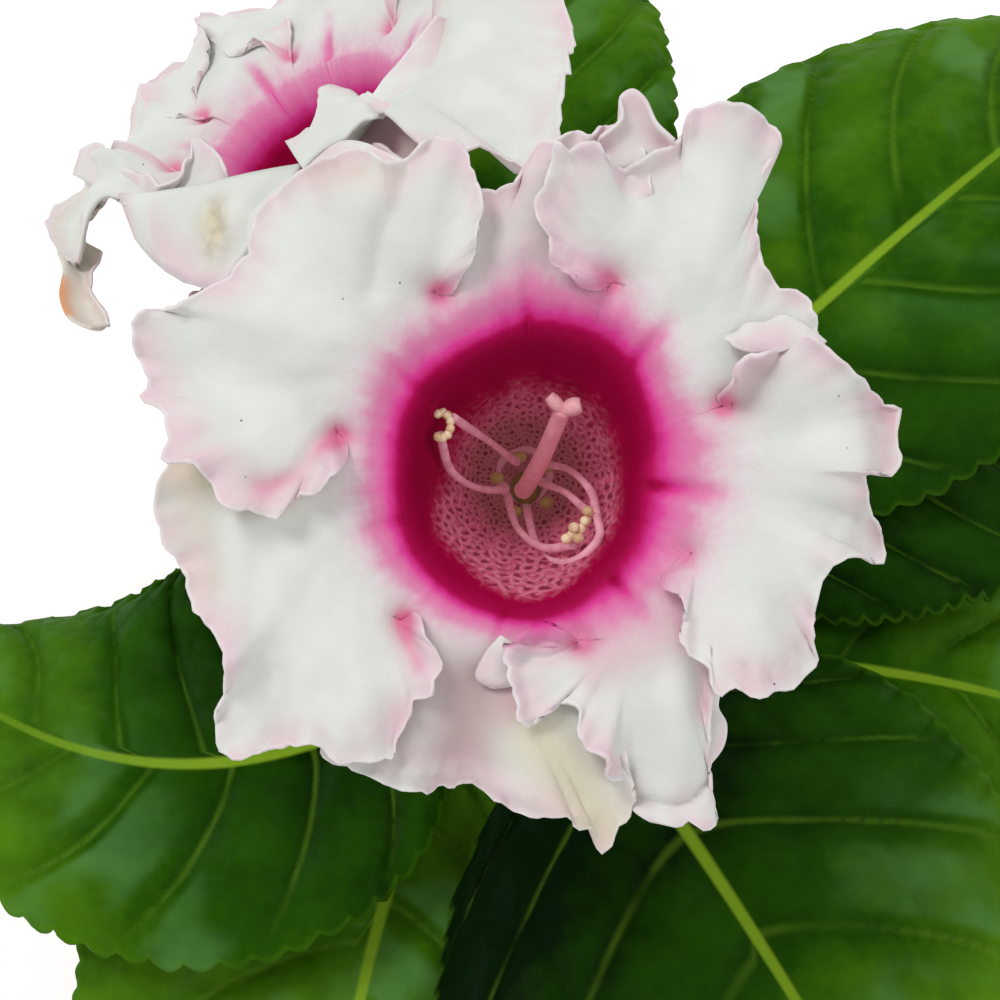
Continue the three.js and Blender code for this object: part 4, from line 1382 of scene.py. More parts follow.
REAR_LOBES = [
    Lobe(  # right, broad, swollen over the mouth
        (17, -16), (18, 17),
        [(19.5, -12.6), (22.4, -8.4), (27, -9.2), (34.5, -13.6), (40.5, -18.4), (44.6, -18.2), (48, -14.6),
         (53.4, -16.4), (55, -17), (55, -12), (53.6, -6), (52.4, 1), (49, 10), (45, 17), (42.4, 21), (36, 28),
         (27, 26)],
        (2.6, 2.6), (4.6, 2), (2, 1), 4, 0.4,
        (
            Crease([(24, -6), (40, -8), (52, -12)], 0.8, 4.5),
            Crease([(26, 6), (44, 4)], -0.8, 4.5),
            Crease([(49, -15), (47, -10)], -1.2, 1.4),
            Crease([(22, -9), (28, -10), (34, -13.5)], 0.8, 1.8),
        ),
    ),
    Lobe(  # upper right, narrow
        (18, 17), (5.1, 23.5), [(25, 24), (28, 36), (22, 44), (12, 42), (4.5, 33)],
        (-2.2, 2.6), (2, 0), (1, 0), 3, 1.1,
        (Crease([(14, 26), (18, 38)], 1.2, 2.4), Crease([(20, 24), (25, 34)], -1.0, 2.0)),
    ),
    Lobe(  # top
        (5.1, 23.5), (-14.4, 19.2),
        [(8, 28), (11.5, 34), (11, 42), (3, 48.5), (-9, 49), (-18, 43), (-25, 39), (-31, 35.6), (-34.3, 33.6),
         (-36.8, 31.6), (-40.2, 30.2), (-39.4, 28), (-34.6, 23.9), (-28.9, 20), (-24.5, 17.4), (-22.3, 18.6),
         (-18.4, 19.2), (-16, 18)],
        (2.2, 1.0), (0, 0), (0, 0), 4, 2.0,
        (
            Crease([(-16, 19), (-20, 19.4), (-24.4, 18), (-29, 20.6), (-38, 28)], 1.2, 1.5),
            Crease([(-14, 23), (-22, 24)], -0.7, 2.4),
            Crease([(-8, 28), (-12, 40)], 0.9, 4),
        ),
    ),
    Lobe(  # upper left, under both neighbours
        (-14.4, 19.2), (-25, 5),
        [(-15.5, 24), (-20, 28), (-31, 28), (-39, 22), (-42, 13), (-37, 5.5), (-30, 3)],
        (-0.6, -0.6), (1.2, 1.2), (0, 0), 3, 0.9,
    ),
    Lobe(  # left
        (-25, 5), (-23, -8),
        [(-27.4, 8.4), (-28.4, 13), (-29.4, 17.4), (-31.4, 21.2), (-36.5, 24.9), (-41.4, 26), (-45.6, 26.4),
         (-48.6, 23.4), (-49.6, 19.6), (-47.6, 13.7), (-47, 8.6), (-47.6, 2), (-48.6, -5), (-49, -10),
         (-42, -12.4), (-32, -11.6)],
        (1.2, -2.2), (0, 1), (0, 5), 4, 2.6,
        (
            Crease([(-27.4, 9), (-28.8, 16), (-31.6, 20.6)], 1.1, 1.4),
            Crease([(-32, 10), (-42, 14)], -0.6, 3.4),
        ),
    ),
    Lobe(  # lower left, hanging
        (-23, -8), (-6, -23),
        [(-31, -8), (-40, -6), (-48, -4), (-54.5, -2.6), (-57.5, -8), (-55, -13), (-50, -17.4), (-46, -18.6),
         (-42.4, -16.4), (-37, -15.4), (-30, -17), (-22, -20.6), (-13, -24)],
        (2.4, -2.2), (1, 3), (6, 8), 5, 0.2,
        (
            Crease([(-30, -10), (-40, -9), (-50, -7)], 1.4, 2.4),
            Crease([(-54, -4), (-52, -14)], 1.4, 1.6, warm=0.35),
            Crease([(-45, -10), (-44, -16)], -1.6, 1.8, warm=0.4),
        ),
    ),
    Lobe(  # bottom
        (-6, -23), (17, -16),
        [(-9, -27.5), (-10, -31), (-5, -34.6), (2, -38), (9, -42), (17, -42.4), (26, -38), (34.5, -30),
         (37.4, -20.6), (32.6, -17.2), (26, -16.6), (20.6, -16.9)],
        (-2.2, -2.2), (0, 5), (9, 6), 4, 1.7,
        (Crease([(22, -17), (30, -16), (35, -18)], 1.2, 1.6, pink=0.1),
         Crease([(-8, -30), (6, -36), (18, -34)], -9, 7)),
    ),
]
REAR_FLAPS = [
    # the bottom petal, folded over along its upper side
    Flap([(-24.6, -18.8), (-17, -19.7), (-6.2, -19.2), (3.8, -17.9), (14.5, -17)],
         [(-25.6, -20.8), (-20, -24.8), (-14, -28.6), (-5.3, -32.9), (3.5, -35.4)], 6.4, -1.6, 2.6, 0.35,
         tints=(Crease([(-0.2, -25.4), (1.4, -28.2)], -0.3, 2.5, warm=0.9, crust=0.75),)),
    # the lower left petal's upper margin, frilled and upright
    Flap([(-45, -9), (-34, -14), (-24, -18.6), (-12, -19.3), (-1, -18.6)],
         [(-44, -5.4), (-40.2, -4.2), (-35, -8.6), (-29.2, -12), (-20.3, -14.9), (-14.6, -18.3),
          (-12.8, -15.6), (-14.9, -7.4), (-11.6, -8.6), (-7, -11.7), (-1.7, -16.8)],
         3.8, 6.4, -0.8, 0.8, pink=0.06),
    # the same petal's hanging, curled end
    Flap([(-58, -9), (-53, -15.6), (-47.7, -20.5), (-43.4, -27.3), (-36, -33.6), (-29, -36.2)],
         [(-43.6, -15), (-42.6, -19.2), (-41, -22.6), (-38, -25.8), (-32, -30), (-28, -33.6)], -6.4, -8.4,
         -2.2, 0.3,
         warm=0.35, tints=(Crease([(-46.4, -23.4), (-42, -29), (-38, -32.6)], 0, 1.0, peach=1.0),)),
    # upright fold between the bottom petal and the right one
    Flap([(24.7, -26.3), (25.6, -23.7), (27.1, -21.7), (29.2, -20.3), (29.7, -18.4), (30.4, -16.9),
          (32.5, -16.4)],
         [(10, -13.5), (12, -12.7), (13, -10.6), (13.9, -10.7), (12.9, -6.4), (9.6, -0.7), (15.1, -1.9),
          (20.8, -5.4), (24.5, -7.4), (28.4, -10.4)], 12.5, 8, 1.5, 0.3, pink=0.03),
    # the bottom petal's corner beside that fold
    Flap([(22, -29.4), (28.2, -30), (32, -30), (36.1, -30), (42, -31), (48.4, -32.4)],
         [(24.8, -27.5), (26.5, -24.6), (29, -21.9), (32.2, -21.7), (38.5, -24.5), (44.8, -27.7),
          (47.6, -29.5)], 10, 12.8, 0.5, 0.15, pink=0.06, warm=0.1),
    # the right petal's side where it stands over the mouth
    Flap([(23.7, -7.2), (25, -6), (26.7, -2.6), (27.5, 2.3), (26.5, 9), (24.8, 16.5)],
         [(21.5, -6.9), (22.1, -4.5), (22.4, -1.5), (23.3, 2.5), (23.9, 8.5), (24.6, 13.6)], 4.4, 8, 0.5,
         0.1),
    # the skin between the left petals
    Flap([(-22, 10), (-22, 2)], [(-31, 12.5), (-31, 3)], -1.2, -0.4, 0.2, 0.0, pink=0.5),
    # the inside of the right petal under its arched margin, darkened with painted shade
    Flap([(16.8, -10.0), (26.4, -13.6), (32.7, -16.4), (34.0, -13.4)],
         [(19.9, -8.7), (25.2, -7.2), (32.8, -12.0), (39.6, -17.3)], 4, 7, -0.6, 0.1, pink=0.3,
         tints=(Crease([(24, -8), (33, -13)], 0, 9, painted_shade=0.55),)),
]
REAR_STREAKS = [(0, 18, 0.6), (52, 18.6, 0.8), (108, 18.8, 1.0), (142, 18, 1.0), (-172, 18, 0.5),
                (-130, 18, 0.4), (-70, 18, 0.3)]
REAR_MOUTH = [(-150, 18, 11, 5.4), (-90, 18.4, 11, 4.6), (-30, 18, 11, 4.6), (30, 18.3, 11, 4.8),
              (90, 18.6, 11, 5.2), (150, 18.2, 11, 5.6)]


PLANT_UP = (0, 0.914, 0.407)  # a way across both blooms, near their own y


def bloom_matrix(mouth: Point3, facing: Point3) -> Matrix:
    """Finds the place and turn of a bloom.

    Args:
        mouth: where the middle of its mouth is.
        facing: the way it faces, its own z.

    Returns:
        The matrix from the bloom's frame to the world's.
    """
    z = Vector(facing).normalized()
    x = Vector(PLANT_UP).cross(z).normalized()
    turn = Matrix((x, z.cross(x), z)).transposed().to_4x4()
    return Matrix.Translation(mouth) @ turn


# ---- Inside and under the petals ----


@dataclass
class FlowerParts:
    """The parts inside and under a corolla: stamens, pistil and calyx."""

    name: str
    to_world: Matrix
    stalk_root: Point2  # angle and height on the stem
    seed: int
    sink: float = 0.0  # how much deeper the anthers lie
    filament: float = 0.55
    filament_points: int = 40
    filament_sides: int = 10
    ring_radius: float = 3.8
    ring_tube: float = 0.45
    ring_height: float = -38.0
    ring_sides: tuple[int, int] = (40, 12)
    cluster: Point3 = (-11.3, 6.3, -5.0)  # the middle of the anthers that stand in a ring
    cluster_size: Point2 = (1.2, 1.7)
    cluster_sac: Point3 = (0.62, 0.66, 0.6)
    sacs: tuple = ((6.4, -7.4), (7.0, -8.8), (5.4, -8.9), (8.3, -5.2), (8.0, -6.5), (7.3, -7.6), (6.2, -8.4))
    sac: Point3 = (0.8, 0.75, 0.7)
    sac_height: float = -8.4
    style_radii: Point2 = (1.35, 1.15)
    style_points: int = 48
    stigma_wings: tuple = ((-2.0, 1.7, 1.0), (2.4, 0.5, 1.3))  # how far out and up each goes, and its size
    stigma_points: int = 14
    ovary: tuple[Point3, Point3] = ((0.2, -1.9, -34.6), (2.3, 2.5, 4.2))
    glands: tuple = (165, 100, 40, -38, -110)
    gland: Point3 = (1.1, 0.9, 1.7)
    gland_ring: Point3 = (4.1, -1.5, -33.6)  # its radius, and the middle's y and z
    sepals: int = 5
    sepal_points: int = 150
    cup_radius: float = 7.8
    sepal_reach: Point2 = (9.6, 19)  # between two sepals and at a sepal's tip
    sepal_thickness: float = 1.1
    stalk_radius: float = 2.3
    filaments: tuple = (
        ((-1.8, 3.0, -37), (-1.2, 1.8, -30), (-4.7, 4.3, -21), (-7.6, 6.0, -12), (-9.8, 7.4, -5.5)),
        ((-3.4, -1.2, -37), (-2.8, -2.1, -30), (-6.2, -2.1, -22), (-8.9, -0.9, -17), (-10.5, 0.8, -13),
         (-11.5, 5.1, -6)),
        ((2.6, 2.4, -37), (2.9, 1.6, -30), (6.4, 0.5, -23), (9.0, -2.5, -16), (9.6, -5.8, -10)),
        ((3.4, -0.9, -37), (2.5, -1.2, -30), (5.5, -2.5, -23), (7.8, -4.6, -16), (8.9, -5.7, -10)),
        ((-2.2, -3.0, -37), (-2.3, -3.8, -30), (-1.0, -7.7, -23), (2.3, -10.2, -16), (6.6, -9.8, -9.5)),
        ((0.3, -3.8, -37), (0.5, -5.8, -30), (1.5, -9.7, -22), (3.5, -12.0, -14), (7.1, -11.6, -8),
         (9.8, -8.6, -7), (9.5, -5.8, -9)),
    )
    style: tuple = ((0, -1.2, -35), (-0.1, -2.2, -30), (2.4, 2.4, -19), (5, 8.6, -8))
    cup: tuple = (
        (0.0, -2.6), (2.6, -2.6), (4.5, -2.3), (7.2, -1.0), (7.8, -0.1), (7.1, 0.05), (4, 0.1), (0.0, 0.1),
    )

    def piece(self, part: str, surface: Surface, skin: Material, solid: str) -> None:
        """Sets one part in its place.

        Args:
            part: the part's own name.
            surface: its mesh, in the bloom's frame.
            skin: its material.
            solid: the end of the name of the CAD node that it stands for.
        """
        settle(surface.object(f"{self.name}_{part}", self.to_world), skin, f"{self.name}_{solid}")

    def stamens(self, thread: Material, cream: Material) -> None:
        """Makes the filaments on their ring, and the anther clusters.

        Args:
            thread: the material of the filaments.
            cream: the material of the anthers.
        """
        round_ring, across = (turns(count) for count in self.ring_sides)
        round_ring = np.append(round_ring, round_ring[0])[:, None]
        lump = self.ring_tube * (1 + 0.25 * np.cos(5 * round_ring))
        out = self.ring_radius + lump * np.cos(across)
        height = self.ring_height + lump * np.sin(across)
        ring = np.dstack([out * np.cos(round_ring), out * np.sin(round_ring), height])
        surface = Surface().add(ring, closed=True)
        size = self.filament * (1 + 0.12 * np.sin(np.linspace(0, 9, self.filament_points)))
        for path in self.filaments:
            line = spline(path, self.filament_points)
            line[:, 2] -= self.sink * smooth(line[:, 2], -30, -12)
            surface.add(tube(line, size, self.filament_sides), closed=True)
        self.piece("filaments", surface, thread, "stamens")
        surface = Surface()
        for (x, y, z), size in self.anther_lumps():
            surface.add(ball((x, y, z - self.sink), size, 14, 9), closed=True)
        self.piece("anthers", surface, cream, "stamens")

    def anther_lumps(self) -> list[tuple[Point3, Point3]]:
        """Places the pollen sacs: one ring-shaped cluster, and two lumpy ones that touch.

        Returns:
            The place and the half sizes of each.
        """
        rng = random.Random(self.seed)
        lumps = []
        x, y, z = self.cluster
        wide, high = self.cluster_size
        for n in range(8):
            angle = math.radians(-115 + n * 33)
            place = (x + wide * math.cos(angle), y + high * math.sin(angle), z + rng.uniform(-0.2, 0.2))
            lumps.append((place, self.cluster_sac))
        for x, y in self.sacs:
            lumps.append(((x, y, self.sac_height + rng.uniform(-0.5, 0.5)), self.sac))
        return lumps

    def pistil(self, pink: Material, tip: Material, green: Material,
               nectar: Material) -> None:
        """Makes the ovary, the style, the two-lobed stigma and the nectar glands.

        Args:
            pink: the style's material.
            tip: the stigma's material.
            green: the ovary's material.
            nectar: the glands' material.
        """
        radius = np.linspace(*self.style_radii, self.style_points)
        surface = Surface().add(tube(spline(self.style, self.style_points), radius, 16), closed=True)
        self.piece("style", surface, pink, "pistil")
        surface = Surface()
        x, y, z = self.style[-1]
        swell = np.sin(np.linspace(0.5, 2.25, self.stigma_points))
        for out, rise, size in self.stigma_wings:
            middle = (x + out * 0.5, y + rise * 0.4, z + 0.3)
            wing = [(x, y - 0.5, z - 0.5), middle, (x + out, y + rise, z + 0.5)]
            surface.add(tube(spline(wing, self.stigma_points), size * swell, 14), closed=True)
        self.piece("stigma", surface, tip, "pistil")
        surface = Surface().add(ball(*self.ovary, 24, 14), closed=True)
        self.piece("ovary", surface, green, "pistil")
        surface = Surface()
        radius, y, z = self.gland_ring
        for degrees in self.glands:
            angle = math.radians(degrees)
            centre = (radius * math.cos(angle), radius * math.sin(angle) + y, z)
            surface.add(ball(centre, self.gland, 14, 8), closed=True)
        self.piece("glands", surface, nectar, "pistil")

    def calyx(self, skin: Material) -> None:
        """Makes the sepals' cup on its stalk.

        Args:
            skin: its material.
        """
        floor = TUBE_FLOOR - 0.8
        angle = turns(self.sepal_points)
        across = np.abs((angle / (2 * math.pi) * self.sepals) % 1 - 0.5) * 2  # 1 between two sepals
        reach = mix(*self.sepal_reach, (1 - across) ** 0.8)
        share = np.concatenate([[0], np.linspace(0.02, 1, 22)])[:, None]
        radius = mix(self.cup_radius, reach[None], share)
        height = floor + 3.5 * smooth(share, 0, 0.1) + 0.55 * (radius - self.cup_radius)
        keel = 0.55 * bell(across, 0.2)[None] * share * (1 - share) * 4
        curl = 0.35 * np.sin(across * 9)[None] * share**2
        leafy = lathe(radius, height - 0.6 - keel + curl, angle)
        surface = Surface().sheet(leafy, self.sepal_thickness, closed=True)
        bowl = spline(self.cup, 26)
        surface.add(lathe(bowl[:, :1], floor + bowl[:, 1:], angle), closed=True)
        root = on_stem(*self.stalk_root)
        lean = (root[0] * 1.9, root[1] * 1.9, root[2] + 16)
        ends = moved(np.array([(0, 0, floor - 26), (0, 0, floor - 1.4)]), self.to_world)
        line, _ = bezier([root, lean, *ends], np.linspace(0, 1, 60))
        local = moved(line, np.linalg.inv(np.array(self.to_world)))
        surface.add(tube(local, np.full(len(local), self.stalk_radius), 18), closed=True)
        self.piece("sepals", surface, skin, "calyx")


# ---- Leaves ----

STEM_RADII = (5.5, 4.4)
STEM_HEIGHTS = (105.0, 142.0)
CROSS_VEINS = 11.5  # millimetres from one cross vein to the next
FULL_RELIEF = 20.0  # the half width from which a blade's relief has its full height
MAIN_STALK = 30.0  # the half width of a leaf whose stalk has its full thickness


def on_stem(angle: float, height: float) -> Point3:
    """Finds a point on the stem's skin.

    Args:
        angle: degrees round the stem.
        height: the height.

    Returns:
        The point.
    """
    share = (height - STEM_HEIGHTS[0]) / (STEM_HEIGHTS[1] - STEM_HEIGHTS[0])
    radius = float(mix(*STEM_RADII, share))
    return radius * math.cos(math.radians(angle)), radius * math.sin(math.radians(angle)), height


@dataclass(frozen=True)
class VeinPlan:
    """Where a leaf's side veins leave its midrib, as shares of its length, and how they bend forward."""

    left: tuple[float, ...] = (0.02, 0.16, 0.32, 0.49, 0.66, 0.82)
    right: tuple[float, ...] = (0.06, 0.22, 0.39, 0.56, 0.73, 0.88)
    lean: float = 0.3
    bend: float = 1.3
    beyond: int = 4  # more lanes before the first vein and after the last

    def lane(self, along: Array, out: Array, right: Array) -> Array:
        """Finds in which lane between two veins each point lies.

        Args:
            along: shares of the leaf's length.
            out: shares of its half width.
            right: whether a point is on the right.

        Returns:
            A number that is whole on every side vein and grows by one from each to the next.
        """
        foot = along - self.lean * out**self.bend
        lanes = []
        for places in (self.left, self.right):
            first, last = places[1] - places[0], places[-1] - places[-2]
            steps = [places[0] - self.beyond * first, *places, places[-1] + self.beyond * last]
            counts = [-self.beyond, *range(len(places)), len(places) - 1 + self.beyond]
            lanes.append(np.interp(foot, steps, counts) + 2 * self.beyond)
        return np.where(right, lanes[1], lanes[0])


@dataclass
class Leaf:
    """A leaf on its stalk: a curved spine with a half width on each side.

    The sides and the sweep are each a pair, on the left and on the right: the half widths, and how far the
    edge is drawn forward.
    """

    node: str
    root: Point2  # angle and height on the stem
    spine: list[Point3]
    start: float  # the share of the spine at which the blade begins
    sides: Point2
    sweep: Point2 = (0.0, 0.0)
    light: Point3 = (0.5, 0.0, 0.0)  # painted light: how brightly the blade is painted lit, and how much more to its right and to its tip
    rows: int = 190
    columns: int = 65
    teeth: int = 26
    pucker: float = 2.3
    veins: VeinPlan = VeinPlan()
    seed: int = 1
    thickness: float = 0.7
    stalk_radii: Point2 = (3.1, 0.5)
    stalk_points: int = 90
    stalk_sides: int = 14

    def spine_frame(self, share: Array) -> tuple[Grid, Grid, Grid, Grid]:
        """Follows the leaf's spine.

        Args:
            share: shares of the way along it.

        Returns:
            Its places, and the ways forward, to the right and up from the blade there.
        """
        place, forward = bezier([on_stem(*self.root), *self.spine], share)
        side = np.cross(forward, [0, 0, 1.0])
        side /= np.linalg.norm(side, axis=-1, keepdims=True)
        return place, forward, side, np.cross(side, forward)

    def quilting(self, q: Grid, v: Grid, lane: Grid, half: Grid) -> tuple[Grid, Grid]:
        """Raises the blade between its veins.

        Args:
            q: shares of the blade's length.
            v: shares of its half width, below 0 on the left.
            lane: the lane between two veins.
            half: the half width.

        Returns:
            How plump each point is, from 0 to 1, and how high it is raised.
        """
        out = np.abs(v)
        from_middle = np.abs((lane % 1) - 0.5) / 0.5
        plump = np.sqrt(np.maximum(1 - from_middle**2.4, 0))
        between = out * half / CROSS_VEINS + 0.37 * np.floor(lane)
        between = between + 0.25 * lattice_noise(q * 20, v * 5, self.seed + 3)
        plump = plump * (0.5 + 0.5 * np.abs(np.sin(math.pi * between)) ** 0.7)
        raised = plump * smooth(out, 0.02, 0.22) * (1 - 0.55 * smooth(out, 0.75, 1))
        lumps = lattice_noise(lane * 2.2, out * 9, self.seed + 8) * 0.4 * plump * smooth(out, 0.05, 0.2)
        return plump, self.pucker * (raised + lumps)

    def blade(self) -> tuple[Grid, Values]:
        """Places the blade's points.

        Returns:
            A grid from the base to the tip and from the left to the right, and the values its points carry.
        """
        q = mix(0.012, 0.988, np.linspace(0, 1, self.rows))[:, None]
        w = np.linspace(-1, 1, self.columns)[None]
        q, v = np.broadcast_arrays(q, np.sign(w) * (0.25 * np.abs(w) + 0.75 * np.abs(w) ** 0.8))
        place, forward, side, up = self.spine_frame(mix(self.start, 1, q))
        right = v > 0
        out = np.abs(v)
        shape = np.sin(math.pi * q**0.85) ** 0.62
        half = np.where(right, self.sides[1], self.sides[0]) * shape
        narrow = np.minimum(1, half / FULL_RELIEF)
        phase = self.teeth * q - 0.5 * lattice_noise(q * 11, q * 0, self.seed)
        notched = np.abs(np.sin(math.pi * phase))
        tooth = 1.4 * (notched**0.6 - 0.65) * smooth(shape, 0.15, 0.6)
        tooth = (tooth + 0.35 * lattice_noise(q * 60, right * 3.0, self.seed + 4)) * smooth(out, 0.72, 1.0)
        drawn = np.where(right, self.sweep[1], self.sweep[0]) * v * v * (1 - q) * shape
        lane = self.veins.lane(q, out, right)
        pillow, quilted = self.quilting(q, v, lane, half)
        wavy = 0.55 * np.sin(math.pi * phase) * smooth(out, 0.8, 1.0) - 1.6 * smooth(out, 0.86, 1.0) * notched
        swell = 1.1 * lattice_noise(q * 5, v * 2.2, self.seed + 12) * smooth(out, 0.1, 0.5)
        height = (quilted + wavy + swell) * narrow - 1.6 * bell(out * half, 3.2) * (1 - 0.6 * q)
        height = height + half * v * v * (0.05 * np.sin(7 * q + np.where(right, 3.4, 1.3)) - 0.12)
        grid = place + side * (v * half + np.sign(v) * tooth)[..., None] + up * height[..., None]
        base, rightward, tipward = self.light
        # painted shade: blades darker near the front bloom, as in its shadow
        shaded = 0.13 * smooth(np.hypot(place[..., 0], place[..., 1] + 30), 105, 55)
        return grid + forward * drawn[..., None], {
            "along": q, "middle": out * half, "span": (1 - out) * half, "lane": lane, "pillow": pillow,
            "lit": base + rightward * v + tipward * (q - 0.5) - shaded,
        }

    def build(self, skin: Material, stalk_skin: Material) -> None:
        """Makes the blade and its stalk with the midrib under it.

        Args:
            skin: the blade's material.
            stalk_skin: the stalk's material.
        """
        grid, values = self.blade()
        blade = Surface().sheet(grid, self.thickness, **values).object(f"{self.node}_blade")
        settle(blade, skin, self.node)
        u = np.linspace(0, 0.97, self.stalk_points)
        line, _, _, up = self.spine_frame(u)
        bare = self.start * 0.4  # the share of the spine along which the stalk keeps its thickness
        small = min(1.0, self.sides[0] / MAIN_STALK) ** 0.3
        radius = mix(*self.stalk_radii, np.clip((u - bare) / (1 - bare), 0, 1) ** 0.7) * small
        under = smooth(u, self.start - 0.02, self.start + 0.1) * (radius + 1.4 - 0.7 * u)
        stalk = Surface().add(tube(line - up * under[:, None], radius, self.stalk_sides), closed=True)
        settle(stalk.object(f"{self.node}_stalk"), stalk_skin, self.node)


LEAVES = [
    Leaf("leaf_a", (88, 120), [(2, 34, 152), (0, 100, 178), (2, 158, 128)], 0.36, (32, 29),
         light=(0.5, 0.1, 0), seed=11),
    Leaf("leaf_b", (46, 134), [(24, 13, 165), (75, 60, 184), (129, 118, 137)], 0.26, (44, 41), (10, -6),
         light=(0.46, -0.16, 0.36), seed=23,
         veins=VeinPlan((-0.12, 0.04, 0.19, 0.33, 0.49, 0.66, 0.83), (0.04, 0.21, 0.38, 0.56, 0.74, 0.9))),
    Leaf("leaf_c", (14, 114), [(30, 8, 150), (80, 26, 166), (126, 32, 120)], 0.26, (32, 29),
         light=(0.18, 0.0, 0.2), seed=31),
    Leaf("leaf_d", (-40, 110.5), [(30, -14, 134), (76, -15, 150), (124, -25, 106)], 0.28, (29, 30),
         light=(0.6, -0.1, 0.6), seed=43),
    Leaf("leaf_e", (-60, 127), [(13, -31, 160), (42, -81, 186), (83, -145, 128)], 0.24, (50, 55), (-14, 6),
         light=(0.52, -0.24, 1.5), seed=53, teeth=34, columns=75,
         veins=VeinPlan((-0.02, 0.12, 0.27, 0.43, 0.6, 0.78), (-0.06, 0.1, 0.27, 0.45, 0.63, 0.8), 0.28)),
    Leaf("leaf_f", (189, 134), [(-18, -42, 166), (-62, -64, 178), (-108, -15, 148)], 0.26, (32, 37), (-9, 0),
         light=(0.46, -0.22, 1.0), seed=67, teeth=28,
         veins=VeinPlan((0.04, 0.2, 0.36, 0.51, 0.66, 0.79), (0.08, 0.24, 0.41, 0.57, 0.73, 0.88), 0.2)),
    Leaf("leaf_g", (255, 120), [(-18, -34, 148), (-31, -80, 160), (-35, -140, 116)], 0.26, (44, 49),
         light=(0.75, 0.1, 0), seed=71),
    Leaf("leaf_h", (140, 127), [(-26, 20, 152), (-44, 36, 156), (-60, 50, 134)], 0.3, (18, 18),
         light=(0.4, 0, 0), seed=83, teeth=12, rows=80, columns=41, pucker=0.7),
    Leaf("leaf_i", (178, 113), [(-24, 4, 140), (-38, 8, 146), (-60, 12, 126)], 0.32, (16, 16),
         light=(0.4, 0, 0), seed=97, teeth=12, rows=80, columns=41, pucker=0.7),
]


# ---- Pot, soil and stem ----


@dataclass(frozen=True)
class Scatter:
    """Small shapes strewn over a surface by a node tree."""

    density: float
    seed: int
    smallest: float
    largest: float
    tilt: float

    def grow(self, name: str, ground: Piece, source: Piece, skin: Material) -> Piece:
        """Strews copies of a shape over a surface.

        Args:
            name: the new piece's name.
            ground: the surface.
            source: the shape, standing along z.
            skin: the material of the copies.

        Returns:
            An object with the copies as its plain mesh.
        """
        tree = bpy.data.node_groups.new(name, "GeometryNodeTree")
        socket = tree.interface.new_socket
        socket("Geometry", in_out="INPUT", socket_type="NodeSocketGeometry")
        sizes = {
            socket(title, in_out="INPUT", socket_type=kind).identifier: value
            for title, kind, value in (
                ("Density", "NodeSocketFloat", self.density), ("Seed", "NodeSocketInt", self.seed),
                ("Smallest", "NodeSocketFloat", self.smallest), ("Largest", "NodeSocketFloat", self.largest),
                ("Tilt", "NodeSocketFloat", self.tilt),
            )
        }
        socket("Geometry", in_out="OUTPUT", socket_type="NodeSocketGeometry")
        add = Wiring(tree).add
        given = add("NodeGroupInput").outputs
        spread = add("GeometryNodeDistributePointsOnFaces", None, {
            "Mesh": given["Geometry"], "Density": given["Density"], "Seed": given["Seed"],
        }).outputs
        shape = add("GeometryNodeObjectInfo", None, {"Object": source}).outputs["Geometry"]
        least = add("ShaderNodeMath", {"operation": "MULTIPLY"}, [given["Tilt"], -1.0]).outputs[0]
        leans = [least, given["Tilt"]]
        lean = add("FunctionNodeRandomValue", {"data_type": "FLOAT_VECTOR"}, leans).outputs[0]
        turn = add("FunctionNodeRotateRotation", {"rotation_space": "LOCAL"}, {
            "Rotation": spread["Rotation"], "Rotate By": lean,
        }).outputs[0]
        limits = {2: given["Smallest"], 3: given["Largest"]}
        size = add("FunctionNodeRandomValue", {"data_type": "FLOAT"}, limits).outputs[1]
        copies = add("GeometryNodeInstanceOnPoints", None, {
            "Points": spread["Points"], "Instance": shape, "Rotation": turn, "Scale": size,
        }).outputs[0]
        real = add("GeometryNodeRealizeInstances", None, [copies]).outputs[0]
        dressed = add("GeometryNodeSetMaterial", None, {"Geometry": real, "Material": skin}).outputs[0]
        add("NodeGroupOutput", None, [dressed])
        made = bpy.data.objects.new(name, ground.data.copy())
        bpy.context.collection.objects.link(made)
        modifier = made.modifiers.new("scatter", "NODES")
        modifier.node_group = tree
        for identifier, value in sizes.items():
            modifier[identifier] = value
        bake(made)
        return made


